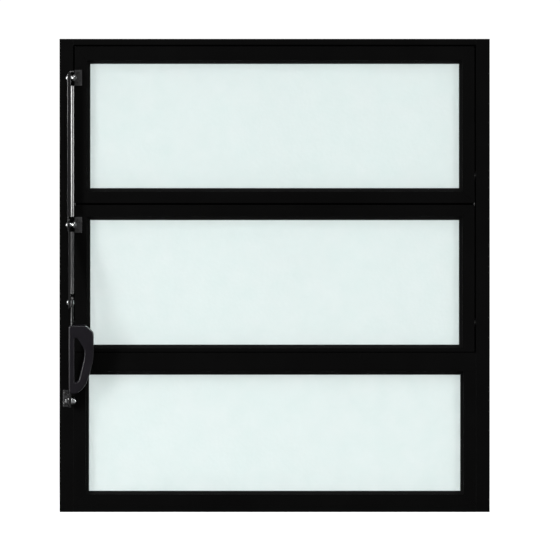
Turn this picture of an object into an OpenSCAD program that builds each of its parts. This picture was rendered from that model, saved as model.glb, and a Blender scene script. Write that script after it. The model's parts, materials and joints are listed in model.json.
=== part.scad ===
// Tilting window: two linked sashes over a fixed pane, worked by a lever on the left.
// Millimetres. X runs across the opening, Y from the room to the outside, Z up.
// The origin is the middle of the sill's underside, at half the frame's depth.

/* [Frame] */
// Width over the jambs
frame_w = 600; // [500:10:900]
// Height over head and sill
frame_h = 660; // [640:10:900]
// Depth of the outer frame
frame_d = 50; // [46:1:70]
// Face width of a jamb
jamb_w = 19; // [17:0.5:26]
// Face height of head and sill
head_h = 8.4; // [8:0.2:14]
// Wall of the frame extrusions
frame_wall = 1.8; // [1.4:0.1:2.2]
// Height of the transom's underside
transom_z = 196; // [190:1:200]
// Height of the transom box
transom_h = 14; // [13:0.5:16]
// Height of the transom's upstand
upstand_h = 12; // [8:0.5:12]

/* [Sashes] */
// Depth of a sash
sash_d = 25; // [23:0.5:27]
// How far a sash stands proud of the jamb face
sash_proud = 0.5; // [0.3:0.1:1]
// Gap between sash and jamb
side_gap = 2.3; // [1.8:0.1:3]
// Face width of a sash stile
stile_w = 17; // [16.5:0.5:22]
// Face height of a sash rail
rail_w = 16.5; // [16:0.5:20]
// Face height of the uppermost rail
top_rail_w = 19.8; // [18:0.2:24]
// Gap over and under each sash
end_gap = 2.1; // [2:0.1:3]
// Gap between the two sashes
meet_gap = 2.6; // [2.4:0.1:3.5]
// Wall of the sash extrusions
sash_wall = 1.6; // [1.2:0.1:1.8]
// Height of the gap between the two sashes
meet_z = 429.6; // [400:1:440]

/* [Glazing] */
// Glass thickness
glass_t = 4; // [3:0.5:5]
// Depth of a glazing pocket
pocket_d = 9; // [8:0.5:10]
// Thickness of the rubber channel
rubber_t = 2; // [1.5:0.25:2.5]
// How far the rubber channel stands out of its pocket
lip = 4.5; // [2:0.5:6]
// Face width of the fixed pane's side channels
fixed_side_w = 17.5; // [16.5:0.5:22]
// Face height of the fixed pane's bottom channel
fixed_bottom_w = 16.6; // [16:0.2:20]

/* [Pivots and links] */
// Height of the lever's pivot
lever_z = 155.1; // [150:1:160]
// Height of a sash pivot below its bracket pin, which is also the lever's working length
crank_z = 137.4; // [110:0.2:140]
// Height of the lower bracket pin
pin_z = 400.6; // [396:0.2:402]
// Distance between the two bracket pins
pin_pitch = 205; // [200:1:208]
// Distance of the bracket pins in front of the jamb face
pin_reach = 7; // [6.5:0.1:9]
// Distance of the lever's pivot in front of the jamb face
lever_reach = 11; // [10:0.5:14]
// Radius of the rivets in the linkage
rivet_r = 2.5; // [2:0.1:3]
// Radius of the sash pivot pins
pivot_r = 4; // [3:0.25:5]
// Radial running clearance of every pin
run = 0.05; // [0.02:0.01:0.1]
// Width of the upper link rod
rod_w = 9.2; // [8.6:0.1:9.4]
// Depth of a link rod
rod_d = 9; // [8.5:0.1:10]
// Sheet of the link rods
rod_t = 1.5; // [1.2:0.1:1.6]
// Half the height of a sash bracket
bracket_half = 11; // [9:0.5:13]
// Sheet of the brackets
bracket_t = 2; // [1.5:0.1:2.5]

/* [Lever] */
// Thickness of the lever bar
bar_t = 3.2; // [2.5:0.1:3.4]
// Width of the lever bar
bar_w = 11; // [9:0.5:12]
// Depth of the grip moulding
grip_d = 16; // [14:0.5:18]
// Height of the grip
grip_h = 96; // [86:1:100]
// Reach of the grip to the right of the bar
grip_reach = 34.8; // [30:0.2:40]

/* [Hidden] */
$fn = 48;

eps = 0.01;        // overshoot of a cut
fit = 0.1;         // clearance of a fixed piece in its seat
screw_r = 1.7;     // shank of every wood and self-tapping screw
flat_head_r = 3;   // countersunk head of a bracket or grip screw
glaze_head_r = 3.2;    // countersunk head of a channel screw
driver_hole_r = 4.1;   // hole in a jamb's back through which its joint screws are driven
joint_head_r = 3.4;    // head of a joint screw
joint_head_t = 2.4;
joint_bite = 20;       // thread of a joint screw inside its rail

// Frame
half_w = frame_w / 2;
jamb_x = half_w - jamb_w;          // face of the jamb beside the opening
room_y = -frame_d / 2;             // room face of the frame
out_y = frame_d / 2;
head_z = frame_h - head_h;
transom_top = transom_z + transom_h;
upstand_top = transom_top + upstand_h;
upstand_t = 2;
stop_h = 10.6;                     // head stop, outside the upper sash
stop_t = 1.8;
seal_w = 4;                        // pile seal
seal_groove = 2;
fixing_y = 12;                     // screws into the wall
fixing_r = 2.75;
fixing_z = [110, frame_h - 110];

// Sashes
sash_y0 = room_y - sash_proud;     // room face of a sash
sash_y1 = sash_y0 + sash_d;
sash_x = jamb_x - side_gap;        // side of a sash
stile_x = sash_x - stile_w;        // inner edge of a stile
mid_y = sash_y0 + sash_d / 2;      // sash glass, and the sash pivots
pocket_w = glass_t + 2 * rubber_t;
sill_extra = 0.4;                  // the lower sash hangs a little higher over the transom, for water
upper_z = [meet_z + meet_gap / 2, head_z - end_gap];
lower_z = [transom_top + end_gap + sill_extra, meet_z - meet_gap / 2];
rebate_z = upstand_top + 1.5;      // the lower sash steps back behind the upstand
rebate_y = room_y + upstand_t + 1.2;
lap_gap = 2.5;                     // from a sash to the stop or lap outside it
lap_h = 11;
lap_y = sash_y1 + lap_gap;
strip_t = lap_gap - 0.2;
seal_y = sash_y1 - 2.7;

// Fixed pane
fixed_y0 = room_y;
fixed_y1 = room_y + sash_d;
fixed_mid = room_y + sash_d / 2;
fixed_x = jamb_x - fixed_side_w;   // inner edge of a side channel
fixed_z = head_h + fixed_bottom_w; // inner edge of the bottom channel

// Pivots: every crank of the linkage is the same vector, so all of them turn alike
pin_y = room_y - pin_reach;
crank_y = pin_y - mid_y;
lever_y = room_y - lever_reach;
pins = [pin_z, pin_z + pin_pitch];             // bracket pins: lower sash, upper sash
pivots = [pin_z - crank_z, pin_z + pin_pitch - crank_z];
link_y = lever_y + crank_y;                    // rivet between lever and lower rod
link_z = lever_z + crank_z;
rod_lean = atan2(link_y - pin_y, pin_z - link_z);
rod_length = norm([link_y - pin_y, link_z - pin_z]);
lever_lean = atan2(-crank_y, crank_z);
lever_length = norm([crank_y, crank_z]);

// Link rods, seen from the left: outer flange, web with a rib, inner flange
rod_gap = 0.9;                                 // from a sash to the rods
rod_x1 = -sash_x - rod_gap;
rod_x0 = rod_x1 - rod_w;
lower_rod_x0 = rod_x0 + rod_t + fit;           // the lower rod nests inside the upper one
rod_back = 4;                                  // from a pin to the rod's back edge
rod_front = rod_d - rod_back;
rod_notch = bracket_half;                      // web cut back at a joint
rod_end = 9.5;                                 // from a pin to the rod's end
rod_top = 11;                                  // from the upper pin to the upper rod's end
rod_window = 7.5;                              // from the upper pin to the web over the joint
rod_chamfer = 5;                               // of the upper rod's top left corner
narrow_web = 4.8;                              // what is left of the web beside a joint
rib_w = 3;
rib_h = 0.8;
rivet_head_r = 3.5;
rivet_head_t = 2.2;
rivet_tail_t = 0.9;                            // closing head, and how far it spreads
ear_r = 5.5;
bracket_x0 = -sash_x - 0.3;                    // left edge of a sash bracket
bracket_w = 10.4;
bracket_screw_x = -sash_x + 3.9;
bracket_screw_z = 6.5;
bracket_screw_length = 7;
spacer_r = 5.4;
spacer_neck = 3.2;

// Lever bar and grip, in the lever's own frame: u runs from its pivot to the link rivet
bar_x0 = rod_x0 + 2;                           // left face of the bar beside the grip
bar_jog = 3.2;                                 // step of the bar over the grip
jog_u = 101;
grip_u0 = 11;
bar_tail = 5;
bar_head = 3.5;
grip_screw_u = [grip_u0 + 7, grip_u0 + grip_h - 12];
grip_screw_length = 13;

// Lever bracket on the jamb
ear_x1 = bar_x0 - 0.6;                         // right face of the bracket's ear
foot_w = 7.8;
foot_z = [lever_z - 8.4, lever_z + 15.3];
foot_screw_x = ear_x1 - foot_w + 2.9;
foot_screw_z = [lever_z - 3.4, lever_z + 10.6];
plate_screw_length = 10;
plate_head_r = 2.6;
plate_head_t = 1.6;
bolt_r = 3;
bolt_head_r = 4.6;
washer_t = 0.5;
nut_t = 4.8;
nut_r = 5.2;

black = [0.05, 0.05, 0.05];
rubber = [0.02, 0.02, 0.02];
pale_glass = [0.87, 0.93, 0.92];
zinc = [0.78, 0.78, 0.76];
nylon = [0.16, 0.15, 0.17];

// ---- helpers ----

// Extrudes a (y, z) outline along X, from x0 to x1.
module along_x(x0, x1) {
    translate([x0, 0, 0]) rotate([90, 0, 90]) linear_extrude(height = x1 - x0) children();
}

// Extrudes an (x, z) outline along Y, from y0 to y1.
module along_y(y0, y1) {
    translate([0, y1, 0]) rotate([90, 0, 0]) linear_extrude(height = y1 - y0) children();
}

// Extrudes an (x, y) outline along Z, from z0 to z1.
module along_z(z0, z1) {
    translate([0, 0, z0]) linear_extrude(height = z1 - z0) children();
}

// A rectangle given by its low and high corners.
module span(low, high) {
    translate(low) square([high[0] - low[0], high[1] - low[1]]);
}

// A box given by its low and high corners.
module block(low, high) {
    translate(low) cube([high[0] - low[0], high[1] - low[1], high[2] - low[2]]);
}

// A cylinder along X from x0 to x1.
module rod_x(x0, x1, r, y, z) {
    translate([x0, y, z]) rotate([0, 90, 0]) cylinder(h = x1 - x0, r = r);
}

module both_sides() {
    children();
    mirror([1, 0, 0]) children();
}

// Section of a glazed member: w across its face, d deep, pocket at the high end of w.
module member_section(w, d) {
    floor_w = w - pocket_d - sash_wall;
    cheek = (d - pocket_w) / 2 - sash_wall;
    difference() {
        span([0, 0], [w, d]);
        span([sash_wall, sash_wall], [floor_w, d - sash_wall]);
        for (y = [sash_wall, d - cheek])
            span([floor_w - eps, y], [w - sash_wall, y + cheek - sash_wall]);
        span([w - pocket_d, (d - pocket_w) / 2], [w + eps, (d + pocket_w) / 2]);
    }
}

// Trapezoid (x, z) of a mitred rail: outer edge at z_out, inner edge at z_in.
module rail_face(x_out, x_in, z_out, z_in) {
    polygon([[-x_out, z_out], [x_out, z_out], [x_in, z_in], [-x_in, z_in]]);
}

// Trapezoid (x, z) of the right-hand stile.
module stile_face(x_out, x_in, z, z_in) {
    polygon([[x_out, z[0]], [x_out, z[1]], [x_in, z_in[1]], [x_in, z_in[0]]]);
}

// Section laid on a rail: outer edge at z_out, pocket towards z_in.
module rail_section(z_out, z_in, y0, d) {
    up = z_in > z_out;
    translate([y0, z_out]) mirror([0, up ? 0 : 1]) rotate(90) mirror([0, 1])
        member_section(abs(z_in - z_out), d);
}

module countersunk(length, head_r) {
    cylinder(h = screw_r, r1 = head_r, r2 = screw_r);
    cylinder(h = length, r = screw_r);
}

// U-shaped rubber channel round a pane: x and z are the opening that stays visible.
module gasket(x, z, y) {
    grow = lip + pocket_d;
    difference() {
        block([-x - grow, y - pocket_w / 2, z[0] - grow], [x + grow, y + pocket_w / 2, z[1] + grow]);
        block([-x, y - pocket_w, z[0]], [x, y + pocket_w, z[1]]);
        pane(x, z, y);
    }
}

module pane(x, z, y) {
    grow = lip + pocket_d - rubber_t;
    block([-x - grow, y - glass_t / 2, z[0] - grow], [x + grow, y + glass_t / 2, z[1] + grow]);
}

// ---- frame ----

frame_ports = [
    [room_y + 7, head_z + head_h / 2], [out_y - 11, head_z + head_h / 2],
    [room_y + 7, head_h / 2], [out_y - 11, head_h / 2],
    [room_y + 5.4, transom_z + 7], [out_y - 15, transom_z + 4.4]
];
port_r = 1.8;
port_wall = 1.3;

module jamb_section() {
    boss = seal_groove + frame_wall;
    groove = [seal_y - seal_w / 2, seal_y + seal_w / 2];
    difference() {
        span([jamb_x, room_y], [half_w, out_y]);
        difference() {
            span([jamb_x + frame_wall, room_y + frame_wall], [half_w - frame_wall, out_y - frame_wall]);
            span([jamb_x, groove[0] - frame_wall], [jamb_x + boss, groove[1] + frame_wall]);
        }
        span([jamb_x - eps, groove[0]], [jamb_x + seal_groove, groove[1]]);
    }
}

module jamb() {
    difference() {
        along_z(0, frame_h) jamb_section();
        for (p = frame_ports) {
            rod_x(jamb_x - 1, jamb_x + frame_wall + 1, screw_r + fit, p[0], p[1]);
            rod_x(half_w - frame_wall - 1, half_w + 1, driver_hole_r, p[0], p[1]);
        }
        for (z = pivots) rod_x(jamb_x - 1, jamb_x + frame_wall + 1, pivot_r + bush_wall, mid_y, z);
        for (z = fixing_z) rod_x(jamb_x - 1, half_w + 1, fixing_r, fixing_y, z);
        for (z = side_screw_z) rod_x(jamb_x - 1, jamb_x + frame_wall + 1, screw_r + fit, fixed_mid, z);
    }
}

module left_jamb() {
    color(black) difference() {
        mirror([1, 0, 0]) jamb();
        for (z = foot_screw_z) translate([foot_screw_x, room_y - 1, z]) rotate([-90, 0, 0])
            cylinder(h = frame_wall + 2, r = screw_r + fit);
    }
}

module right_jamb() {
    color(black) jamb();
}

module port_walls(list) {
    for (p = list) translate(p) circle(r = port_r + port_wall);
}

module port_bores(list) {
    for (p = list) translate(p) circle(r = port_r);
}

module head_section() {
    ports = [frame_ports[0], frame_ports[1]];
    difference() {
        union() {
            difference() {
                span([room_y, head_z], [out_y, frame_h]);
                span([room_y + frame_wall, head_z + frame_wall], [out_y - frame_wall, frame_h - frame_wall]);
            }
            port_walls(ports);
            span([lap_y, head_z - stop_h], [lap_y + stop_t, head_z + eps]);
        }
        port_bores(ports);
    }
}

module head_rail() {
    color(black) along_x(-jamb_x, jamb_x) head_section();
}

module sill_section() {
    ports = [frame_ports[2], frame_ports[3]];
    difference() {
        union() {
            difference() {
                span([room_y, 0], [out_y, head_h]);
                span([room_y + frame_wall, frame_wall], [out_y - frame_wall, head_h - frame_wall]);
            }
            port_walls(ports);
        }
        port_bores(ports);
    }
}

module sill_rail() {
    color(black) difference() {
        along_x(-jamb_x, jamb_x) sill_section();
        for (x = bottom_screw_x) translate([x, fixed_mid, head_h - frame_wall - 1])
            cylinder(h = frame_wall + 2, r = screw_r + fit);
    }
}

module transom_section() {
    ports = [frame_ports[4], frame_ports[5]];
    fall = 5;      // slope of the top towards the outside
    pocket = [fixed_mid - pocket_w / 2, fixed_mid + pocket_w / 2];
    top = transom_top - frame_wall;
    difference() {
        polygon([
            [room_y, transom_z], [out_y, transom_z], [out_y, transom_top - fall], [0, transom_top],
            [room_y + upstand_t, transom_top], [room_y + upstand_t, upstand_top], [room_y, upstand_top]
        ]);
        difference() {
            union() {
                span([room_y + frame_wall, transom_z + frame_wall], [pocket[0] - frame_wall, top]);
                polygon([
                    [pocket[1] + frame_wall, transom_z + frame_wall], [out_y - frame_wall, transom_z + frame_wall],
                    [out_y - frame_wall, top - fall + 0.3], [0, top], [pocket[1] + frame_wall, top]
                ]);
            }
            port_walls(ports);
        }
        port_bores(ports);
        span([pocket[0], transom_z - eps], [pocket[1], transom_z + pocket_d]);
    }
}

module transom_rail() {
    color(black) along_x(-jamb_x, jamb_x) transom_section();
}

module frame_screws() {
    color(zinc) both_sides() for (p = frame_ports) {
        rod_x(jamb_x - joint_bite, jamb_x + frame_wall + 1, screw_r, p[0], p[1]);
        rod_x(jamb_x + frame_wall, jamb_x + frame_wall + joint_head_t, joint_head_r, p[0], p[1]);
    }
}

module pile_seal() {
    z = [transom_top + 1, head_z - 1];
    base_t = seal_groove - fit;
    block([jamb_x + fit, seal_y - seal_w / 2 + fit, z[0]], [jamb_x + seal_groove, seal_y + seal_w / 2 - fit, z[1]]);
    block([jamb_x - side_gap + 0.2, seal_y - 1, z[0]], [jamb_x + base_t, seal_y + 1, z[1]]);
}

module left_pile_seal() {
    color(rubber) mirror([1, 0, 0]) pile_seal();
}

module right_pile_seal() {
    color(rubber) pile_seal();
}

module head_weatherstrip() {
    z = head_z - stop_h;
    color(rubber) block([-sash_x, lap_y - strip_t, z + 1], [sash_x, lap_y, z + 7]);
}

module transom_weatherstrip() {
    y = room_y + upstand_t;
    color(rubber) block([-sash_x, y, upstand_top - 5], [sash_x, y + 1, upstand_top - 1]);
}

bush_wall = 2;
bush_flange = 3.4;     // flange's reach beyond the bore
bush_t = 1;            // flange and blind end
bush_length = 12;
pin_bite = bush_length - bush_t - 1;   // pivot pin inside its bush

module pivot_bush(z) {
    difference() {
        union() {
            rod_x(jamb_x - bush_t, jamb_x + bush_length, pivot_r + bush_wall - run, mid_y, z);
            rod_x(jamb_x - bush_t, jamb_x, pivot_r + bush_flange, mid_y, z);
        }
        rod_x(jamb_x - bush_t - 1, jamb_x + bush_length - bush_t, pivot_r + run, mid_y, z);
    }
}

module left_pivot_bushes() {
    color(black) mirror([1, 0, 0]) for (z = pivots) pivot_bush(z);
}

module right_pivot_bushes() {
    color(black) for (z = pivots) pivot_bush(z);
}

// ---- fixed pane ----

channel_bite = 4;      // channel screw inside the frame
side_screw_z = [60, 150];
bottom_screw_x = [-180, 0, 180];
side_floor = jamb_x - fixed_side_w + pocket_d;
bottom_floor = fixed_z - pocket_d;

module channel_screws() {
    color(zinc) {
        both_sides() for (z = side_screw_z) translate([side_floor, fixed_mid, z]) rotate([0, 90, 0])
            countersunk(jamb_x + channel_bite - side_floor, glaze_head_r);
        for (x = bottom_screw_x) translate([x, fixed_mid, bottom_floor]) rotate([180, 0, 0])
            countersunk(bottom_floor - head_h + channel_bite, glaze_head_r);
    }
}

module fixed_side_channel() {
    difference() {
        intersection() {
            along_z(head_h, transom_z) translate([jamb_x, fixed_y0]) mirror([1, 0]) member_section(fixed_side_w, sash_d);
            along_y(fixed_y0 - 1, fixed_y1 + 1) polygon([
                [jamb_x, head_h], [jamb_x, transom_z], [fixed_x, transom_z], [fixed_x, fixed_z]
            ]);
        }
        for (z = side_screw_z) {
            rod_x(side_floor - 1, jamb_x + 1, screw_r + fit, fixed_mid, z);
            translate([side_floor - eps, fixed_mid, z]) rotate([0, 90, 0])
                cylinder(h = screw_r + fit, r1 = glaze_head_r + fit, r2 = screw_r + fit);
        }
    }
}

module fixed_left_channel() {
    color(black) mirror([1, 0, 0]) fixed_side_channel();
}

module fixed_right_channel() {
    color(black) fixed_side_channel();
}

module fixed_bottom_channel() {
    color(black) difference() {
        intersection() {
            along_x(-jamb_x, jamb_x) rail_section(head_h, fixed_z, fixed_y0, sash_d);
            along_y(fixed_y0 - 1, fixed_y1 + 1) rail_face(jamb_x, fixed_x, head_h, fixed_z);
        }
        for (x = bottom_screw_x) translate([x, fixed_mid, head_h - 1]) {
            cylinder(h = bottom_floor - head_h + 2, r = screw_r + fit);
            translate([0, 0, bottom_floor - head_h + 1 - screw_r - fit + eps])
                cylinder(h = screw_r + fit, r1 = screw_r + fit, r2 = glaze_head_r + fit);
        }
    }
}

module fixed_glass() {
    color(pale_glass) pane(fixed_x - lip, [fixed_z + lip, transom_z - lip], fixed_mid);
}

module fixed_glass_gasket() {
    color(rubber) gasket(fixed_x - lip, [fixed_z + lip, transom_z - lip], fixed_mid);
}

// ---- sashes ----

// Inner edges of the rails of a sash.
upper_in = [upper_z[0] + rail_w, upper_z[1] - top_rail_w];
lower_in = [lower_z[0] + rail_w, lower_z[1] - rail_w];

module rail(z_out, z_in) {
    intersection() {
        along_x(-sash_x, sash_x) rail_section(z_out, z_in, sash_y0, sash_d);
        along_y(sash_y0 - 1, sash_y1 + 1) rail_face(sash_x, stile_x, z_out, z_in);
    }
}

module stile(z, z_in, pivot) {
    difference() {
        intersection() {
            along_z(z[0], z[1]) translate([sash_x, sash_y0]) mirror([1, 0]) member_section(stile_w, sash_d);
            along_y(sash_y0 - 1, sash_y1 + 1) stile_face(sash_x, stile_x, z, z_in);
        }
        rod_x(sash_x - sash_wall - 1, sash_x + 1, pivot_r + run, mid_y, pivot);
    }
}

// Left-hand stile, drilled for the screws of its bracket.
module bracket_stile(z, z_in, pivot, pin) {
    difference() {
        mirror([1, 0, 0]) stile(z, z_in, pivot);
        for (s = [-1, 1]) translate([bracket_screw_x, sash_y0 - 1, pin + s * bracket_screw_z]) rotate([-90, 0, 0])
            cylinder(h = sash_wall + 2, r = screw_r + fit);
    }
}

// What the lower sash leaves free for the transom's upstand.
module rebate() {
    block([-sash_x - 1, sash_y0 - 1, lower_z[0] - 1], [sash_x + 1, rebate_y, rebate_z]);
}

// Closes the step of the rebate with a wall of the sash's own thickness.
module rebate_wall(x0, x1) {
    block([x0, rebate_y, lower_z[0]], [x1, rebate_y + sash_wall, rebate_z + sash_wall]);
    block([x0, sash_y0, rebate_z], [x1, rebate_y + sash_wall, rebate_z + sash_wall]);
}

collar_t = 3.8;    // collar of a pivot pin, inside the stile
key_t = 4;
key_leg = 25;

// One corner key: an L that fills the outer chamber of rail and stile.
module corner_key(z_corner, up) {
    inset = sash_wall + fit;
    y = [sash_y0 + key_front, sash_y1 - sash_wall - fit];
    dir = up ? 1 : -1;
    far = z_corner + dir * (inset + key_leg);
    near = z_corner + dir * inset;
    step = near + dir * key_t;
    block([sash_x - inset - key_t, y[0], min(near, far)], [sash_x - inset, y[1], max(near, far)]);
    block([sash_x - inset - key_leg, y[0], min(near, step)], [sash_x - inset, y[1], max(near, step)]);
}

key_front = 6.5;   // room side of a key, clear of the rebate and of the bracket screws

module corner_keys(z) {
    color(zinc) both_sides() {
        corner_key(z[0], true);
        corner_key(z[1], false);
    }
}

module pivot_pins(z) {
    collar = sash_x - sash_wall;
    color(black) both_sides() {
        rod_x(collar - collar_t, jamb_x + pin_bite, pivot_r, mid_y, z);
        rod_x(collar - collar_t, collar, pivot_r + 3, mid_y, z);
    }
}

// Sash bracket: a foot on the stile and an ear that carries the pin.
module bracket(pin) {
    foot_y = sash_y0 - bracket_t;
    color(black) difference() {
        intersection() {
            along_z(pin - bracket_half, pin + bracket_half) {
                span([bracket_x0, foot_y], [bracket_x0 + bracket_w, sash_y0]);
                span([bracket_x0, pin_y - ear_r], [bracket_x0 + bracket_t, sash_y0]);
            }
            along_x(bracket_x0 - 1, bracket_x0 + bracket_w + 1) {
                span([foot_y, pin - bracket_half], [sash_y0, pin + bracket_half]);
                span([pin_y, pin - ear_r], [sash_y0, pin + ear_r]);
                translate([pin_y, pin]) circle(r = ear_r);
            }
        }
        rod_x(bracket_x0 - 1, bracket_x0 + bracket_t + 1, rivet_r + run, pin_y, pin);
        for (s = [-1, 1]) translate([bracket_screw_x, foot_y - eps, pin + s * bracket_screw_z]) rotate([-90, 0, 0]) {
            cylinder(h = bracket_t + 1, r = screw_r + fit);
            cylinder(h = screw_r + fit, r1 = flat_head_r + fit, r2 = screw_r + fit);
        }
    }
}

module bracket_screws(pin) {
    color(black) for (s = [-1, 1])
        translate([bracket_screw_x, sash_y0 - bracket_t, pin + s * bracket_screw_z]) rotate([-90, 0, 0])
            countersunk(bracket_screw_length, flat_head_r);
}

// Rivet along X: head left of x_head, shank to the ear, small closing head right of x_tail.
module rivet(x_head, x_tail, y, z) {
    color(zinc) {
        rod_x(x_head - rivet_head_t, x_tail + rivet_tail_t, rivet_r, y, z);
        translate([x_head, y, z]) rotate([0, -90, 0]) cylinder(h = rivet_head_t, r1 = rivet_head_r, r2 = rivet_r + 0.2);
        rod_x(x_tail, x_tail + rivet_tail_t, rivet_r + rivet_tail_t, y, z);
    }
}

// Trumpet-shaped spacer between the rod and the ear, wide at the ear.
module spacer(x0, x1, y, z) {
    flare = 4;
    color(zinc) difference() {
        union() {
            rod_x(x0, x1, spacer_neck, y, z);
            translate([x1 - flare, y, z]) rotate([0, 90, 0]) cylinder(h = flare, r1 = spacer_neck, r2 = spacer_r);
        }
        rod_x(x0 - 1, x1 + 1, rivet_r + run, y, z);
    }
}

module upper_sash_top_rail() {
    color(black) rail(upper_z[1], upper_in[1]);
}

module upper_sash_bottom_rail() {
    z = upper_z[0];
    color(black) {
        rail(z, upper_in[0]);
        along_x(-sash_x, sash_x) {
            span([lap_y, z - lap_h], [lap_y + sash_wall, z + 2]);
            span([sash_y1, z], [lap_y + sash_wall, z + 2]);
        }
    }
}

module upper_sash_left_stile() {
    color(black) bracket_stile(upper_z, upper_in, pivots[1], pins[1]);
}

module upper_sash_right_stile() {
    color(black) stile(upper_z, upper_in, pivots[1]);
}

module upper_sash_corner_keys() {
    corner_keys(upper_z);
}

module upper_glass() {
    color(pale_glass) pane(stile_x - lip, [upper_in[0] + lip, upper_in[1] - lip], mid_y);
}

module upper_glass_gasket() {
    color(rubber) gasket(stile_x - lip, [upper_in[0] + lip, upper_in[1] - lip], mid_y);
}

module upper_pivot_pins() {
    pivot_pins(pivots[1]);
}

module upper_sash_bracket() {
    bracket(pins[1]);
}

module upper_bracket_screws() {
    bracket_screws(pins[1]);
}

module upper_link_rivet() {
    rivet(rod_x0 - fit, bracket_x0 + bracket_t, pin_y, pins[1]);
}

module upper_link_spacer() {
    spacer(rod_x0 + rod_t + fit, bracket_x0, pin_y, pins[1]);
}

module interlock_seal() {
    z = upper_z[0] - lap_h;
    color(rubber) block([-sash_x, lap_y - strip_t, z + 1], [sash_x, lap_y, z + 6]);
}

module lower_sash_top_rail() {
    color(black) rail(lower_z[1], lower_in[1]);
}

module lower_sash_bottom_rail() {
    color(black) {
        difference() {
            rail(lower_z[0], lower_in[0]);
            rebate();
        }
        intersection() {
            rebate_wall(-sash_x, sash_x);
            along_y(sash_y0 - 1, sash_y1) rail_face(sash_x, stile_x, lower_z[0], lower_in[0]);
        }
    }
}

module rebated_corner() {
    intersection() {
        rebate_wall(stile_x, sash_x);
        along_y(sash_y0 - 1, sash_y1) stile_face(sash_x, stile_x, lower_z, lower_in);
    }
}

module lower_sash_left_stile() {
    color(black) {
        difference() {
            bracket_stile(lower_z, lower_in, pivots[0], pins[0]);
            rebate();
        }
        mirror([1, 0, 0]) rebated_corner();
    }
}

module lower_sash_right_stile() {
    color(black) {
        difference() {
            stile(lower_z, lower_in, pivots[0]);
            rebate();
        }
        rebated_corner();
    }
}

module lower_sash_corner_keys() {
    corner_keys(lower_z);
}

module lower_glass() {
    color(pale_glass) pane(stile_x - lip, [lower_in[0] + lip, lower_in[1] - lip], mid_y);
}

module lower_glass_gasket() {
    color(rubber) gasket(stile_x - lip, [lower_in[0] + lip, lower_in[1] - lip], mid_y);
}

module lower_pivot_pins() {
    pivot_pins(pivots[0]);
}

module lower_sash_bracket() {
    bracket(pins[0]);
}

module lower_bracket_screws() {
    bracket_screws(pins[0]);
}

module middle_link_rivet() {
    rivet(rod_x0 - fit, bracket_x0 + bracket_t, pin_y, pins[0]);
}

module middle_link_spacer() {
    spacer(lower_rod_x0 + rod_t + fit, bracket_x0, pin_y, pins[0]);
}

// ---- links ----

// Channel from u0 to u1 along Z, its pin axis at y = 0. The web is full between w0 and w1.
module rod_channel(x0, u0, u1, w0, w1) {
    along_z(u0, u1) span([x0, -rod_front], [x0 + rod_t, rod_back]);
    along_z(w0, w1) {
        span([x0, -rod_front], [rod_x1, -rod_front + rod_t]);
        span([rod_x1 - rod_t, -rod_front], [rod_x1, rod_back]);
        intersection() {
            translate([rod_x1 - rib_inset, -rod_front + rib_sink]) circle(r = rib_r);
            span([x0, -rod_front - rib_h - 1], [rod_x1, -rod_front + rod_t / 2]);
        }
    }
}

rib_r = (rib_w * rib_w / 4 + rib_h * rib_h) / (2 * rib_h);   // arc of the rib, from its width and height
rib_sink = rib_r - rib_h;
rib_inset = 3.6;

// Rounds an end of a rod: what is kept, as a (y, z) outline from u0 to u1.
module rod_outline(u0, u1) {
    c = (rod_back - rod_front) / 2;
    r = rod_d / 2;
    span([-rod_front - rib_h, u0 + r], [rod_back, u1 - r]);
    for (u = [u0 + r, u1 - r]) translate([c, u]) circle(r = r);
}

module upper_link_rod() {
    u0 = -rod_end;
    u1 = pin_pitch + rod_top;
    color(black) translate([0, pin_y, pins[0]]) difference() {
        intersection() {
            union() {
                rod_channel(rod_x0, u0, u1, rod_notch, pin_pitch - rod_notch);
                along_z(pin_pitch - rod_notch - 1, u1)
                    span([rod_x0, -rod_front], [rod_x0 + narrow_web, -rod_front + rod_t]);
                along_z(pin_pitch + rod_window, u1) span([rod_x0, -rod_front], [rod_x1, -rod_front + rod_t]);
            }
            along_x(rod_x0 - 1, rod_x1 + 1) rod_outline(u0, u1);
        }
        along_y(-rod_d, rod_d) polygon([
            [rod_x0 - 1, u1 - rod_chamfer - 1], [rod_x0 + rod_chamfer + 1, u1 + 1], [rod_x0 - 1, u1 + 1]
        ]);
        for (u = [0, pin_pitch]) rod_x(rod_x0 - 1, rod_x0 + rod_t + 1, rivet_r + run, 0, u);
    }
}

module lower_link_rod() {
    u0 = -rod_length - rod_end;
    u1 = rod_end;
    color(black) translate([0, pin_y, pins[0]]) rotate([rod_lean, 0, 0]) difference() {
        intersection() {
            union() {
                rod_channel(lower_rod_x0, u0, u1, -rod_length + rod_notch, -rod_notch);
                along_z(u0, -rod_length + rod_notch + 1)
                    span([lower_rod_x0, -rod_front], [lower_rod_x0 + narrow_web - rod_t, -rod_front + rod_t]);
            }
            along_x(lower_rod_x0 - 1, rod_x1 + 1) rod_outline(u0, u1);
        }
        for (u = [0, -rod_length]) rod_x(lower_rod_x0 - 1, lower_rod_x0 + rod_t + 1, rivet_r + run, 0, u);
    }
}

// ---- lever ----

module lever_bracket() {
    foot_y = room_y - bracket_t;
    x0 = ear_x1 - foot_w;
    reach = 6.5;
    color(black) difference() {
        intersection() {
            along_z(foot_z[0], foot_z[1]) {
                span([x0, foot_y], [ear_x1, room_y]);
                span([ear_x1 - bracket_t, lever_y - reach], [ear_x1, room_y]);
            }
            along_x(x0 - 1, ear_x1 + 1) {
                span([foot_y, foot_z[0]], [room_y, foot_z[1]]);
                span([lever_y, lever_z - reach], [room_y, lever_z + reach]);
                translate([lever_y, lever_z]) circle(r = reach);
            }
        }
        rod_x(ear_x1 - bracket_t - 1, ear_x1 + 1, bolt_r + run, lever_y, lever_z);
        for (z = foot_screw_z) translate([foot_screw_x, foot_y - 1, z]) rotate([-90, 0, 0])
            cylinder(h = bracket_t + 2, r = screw_r + fit);
    }
}

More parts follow.
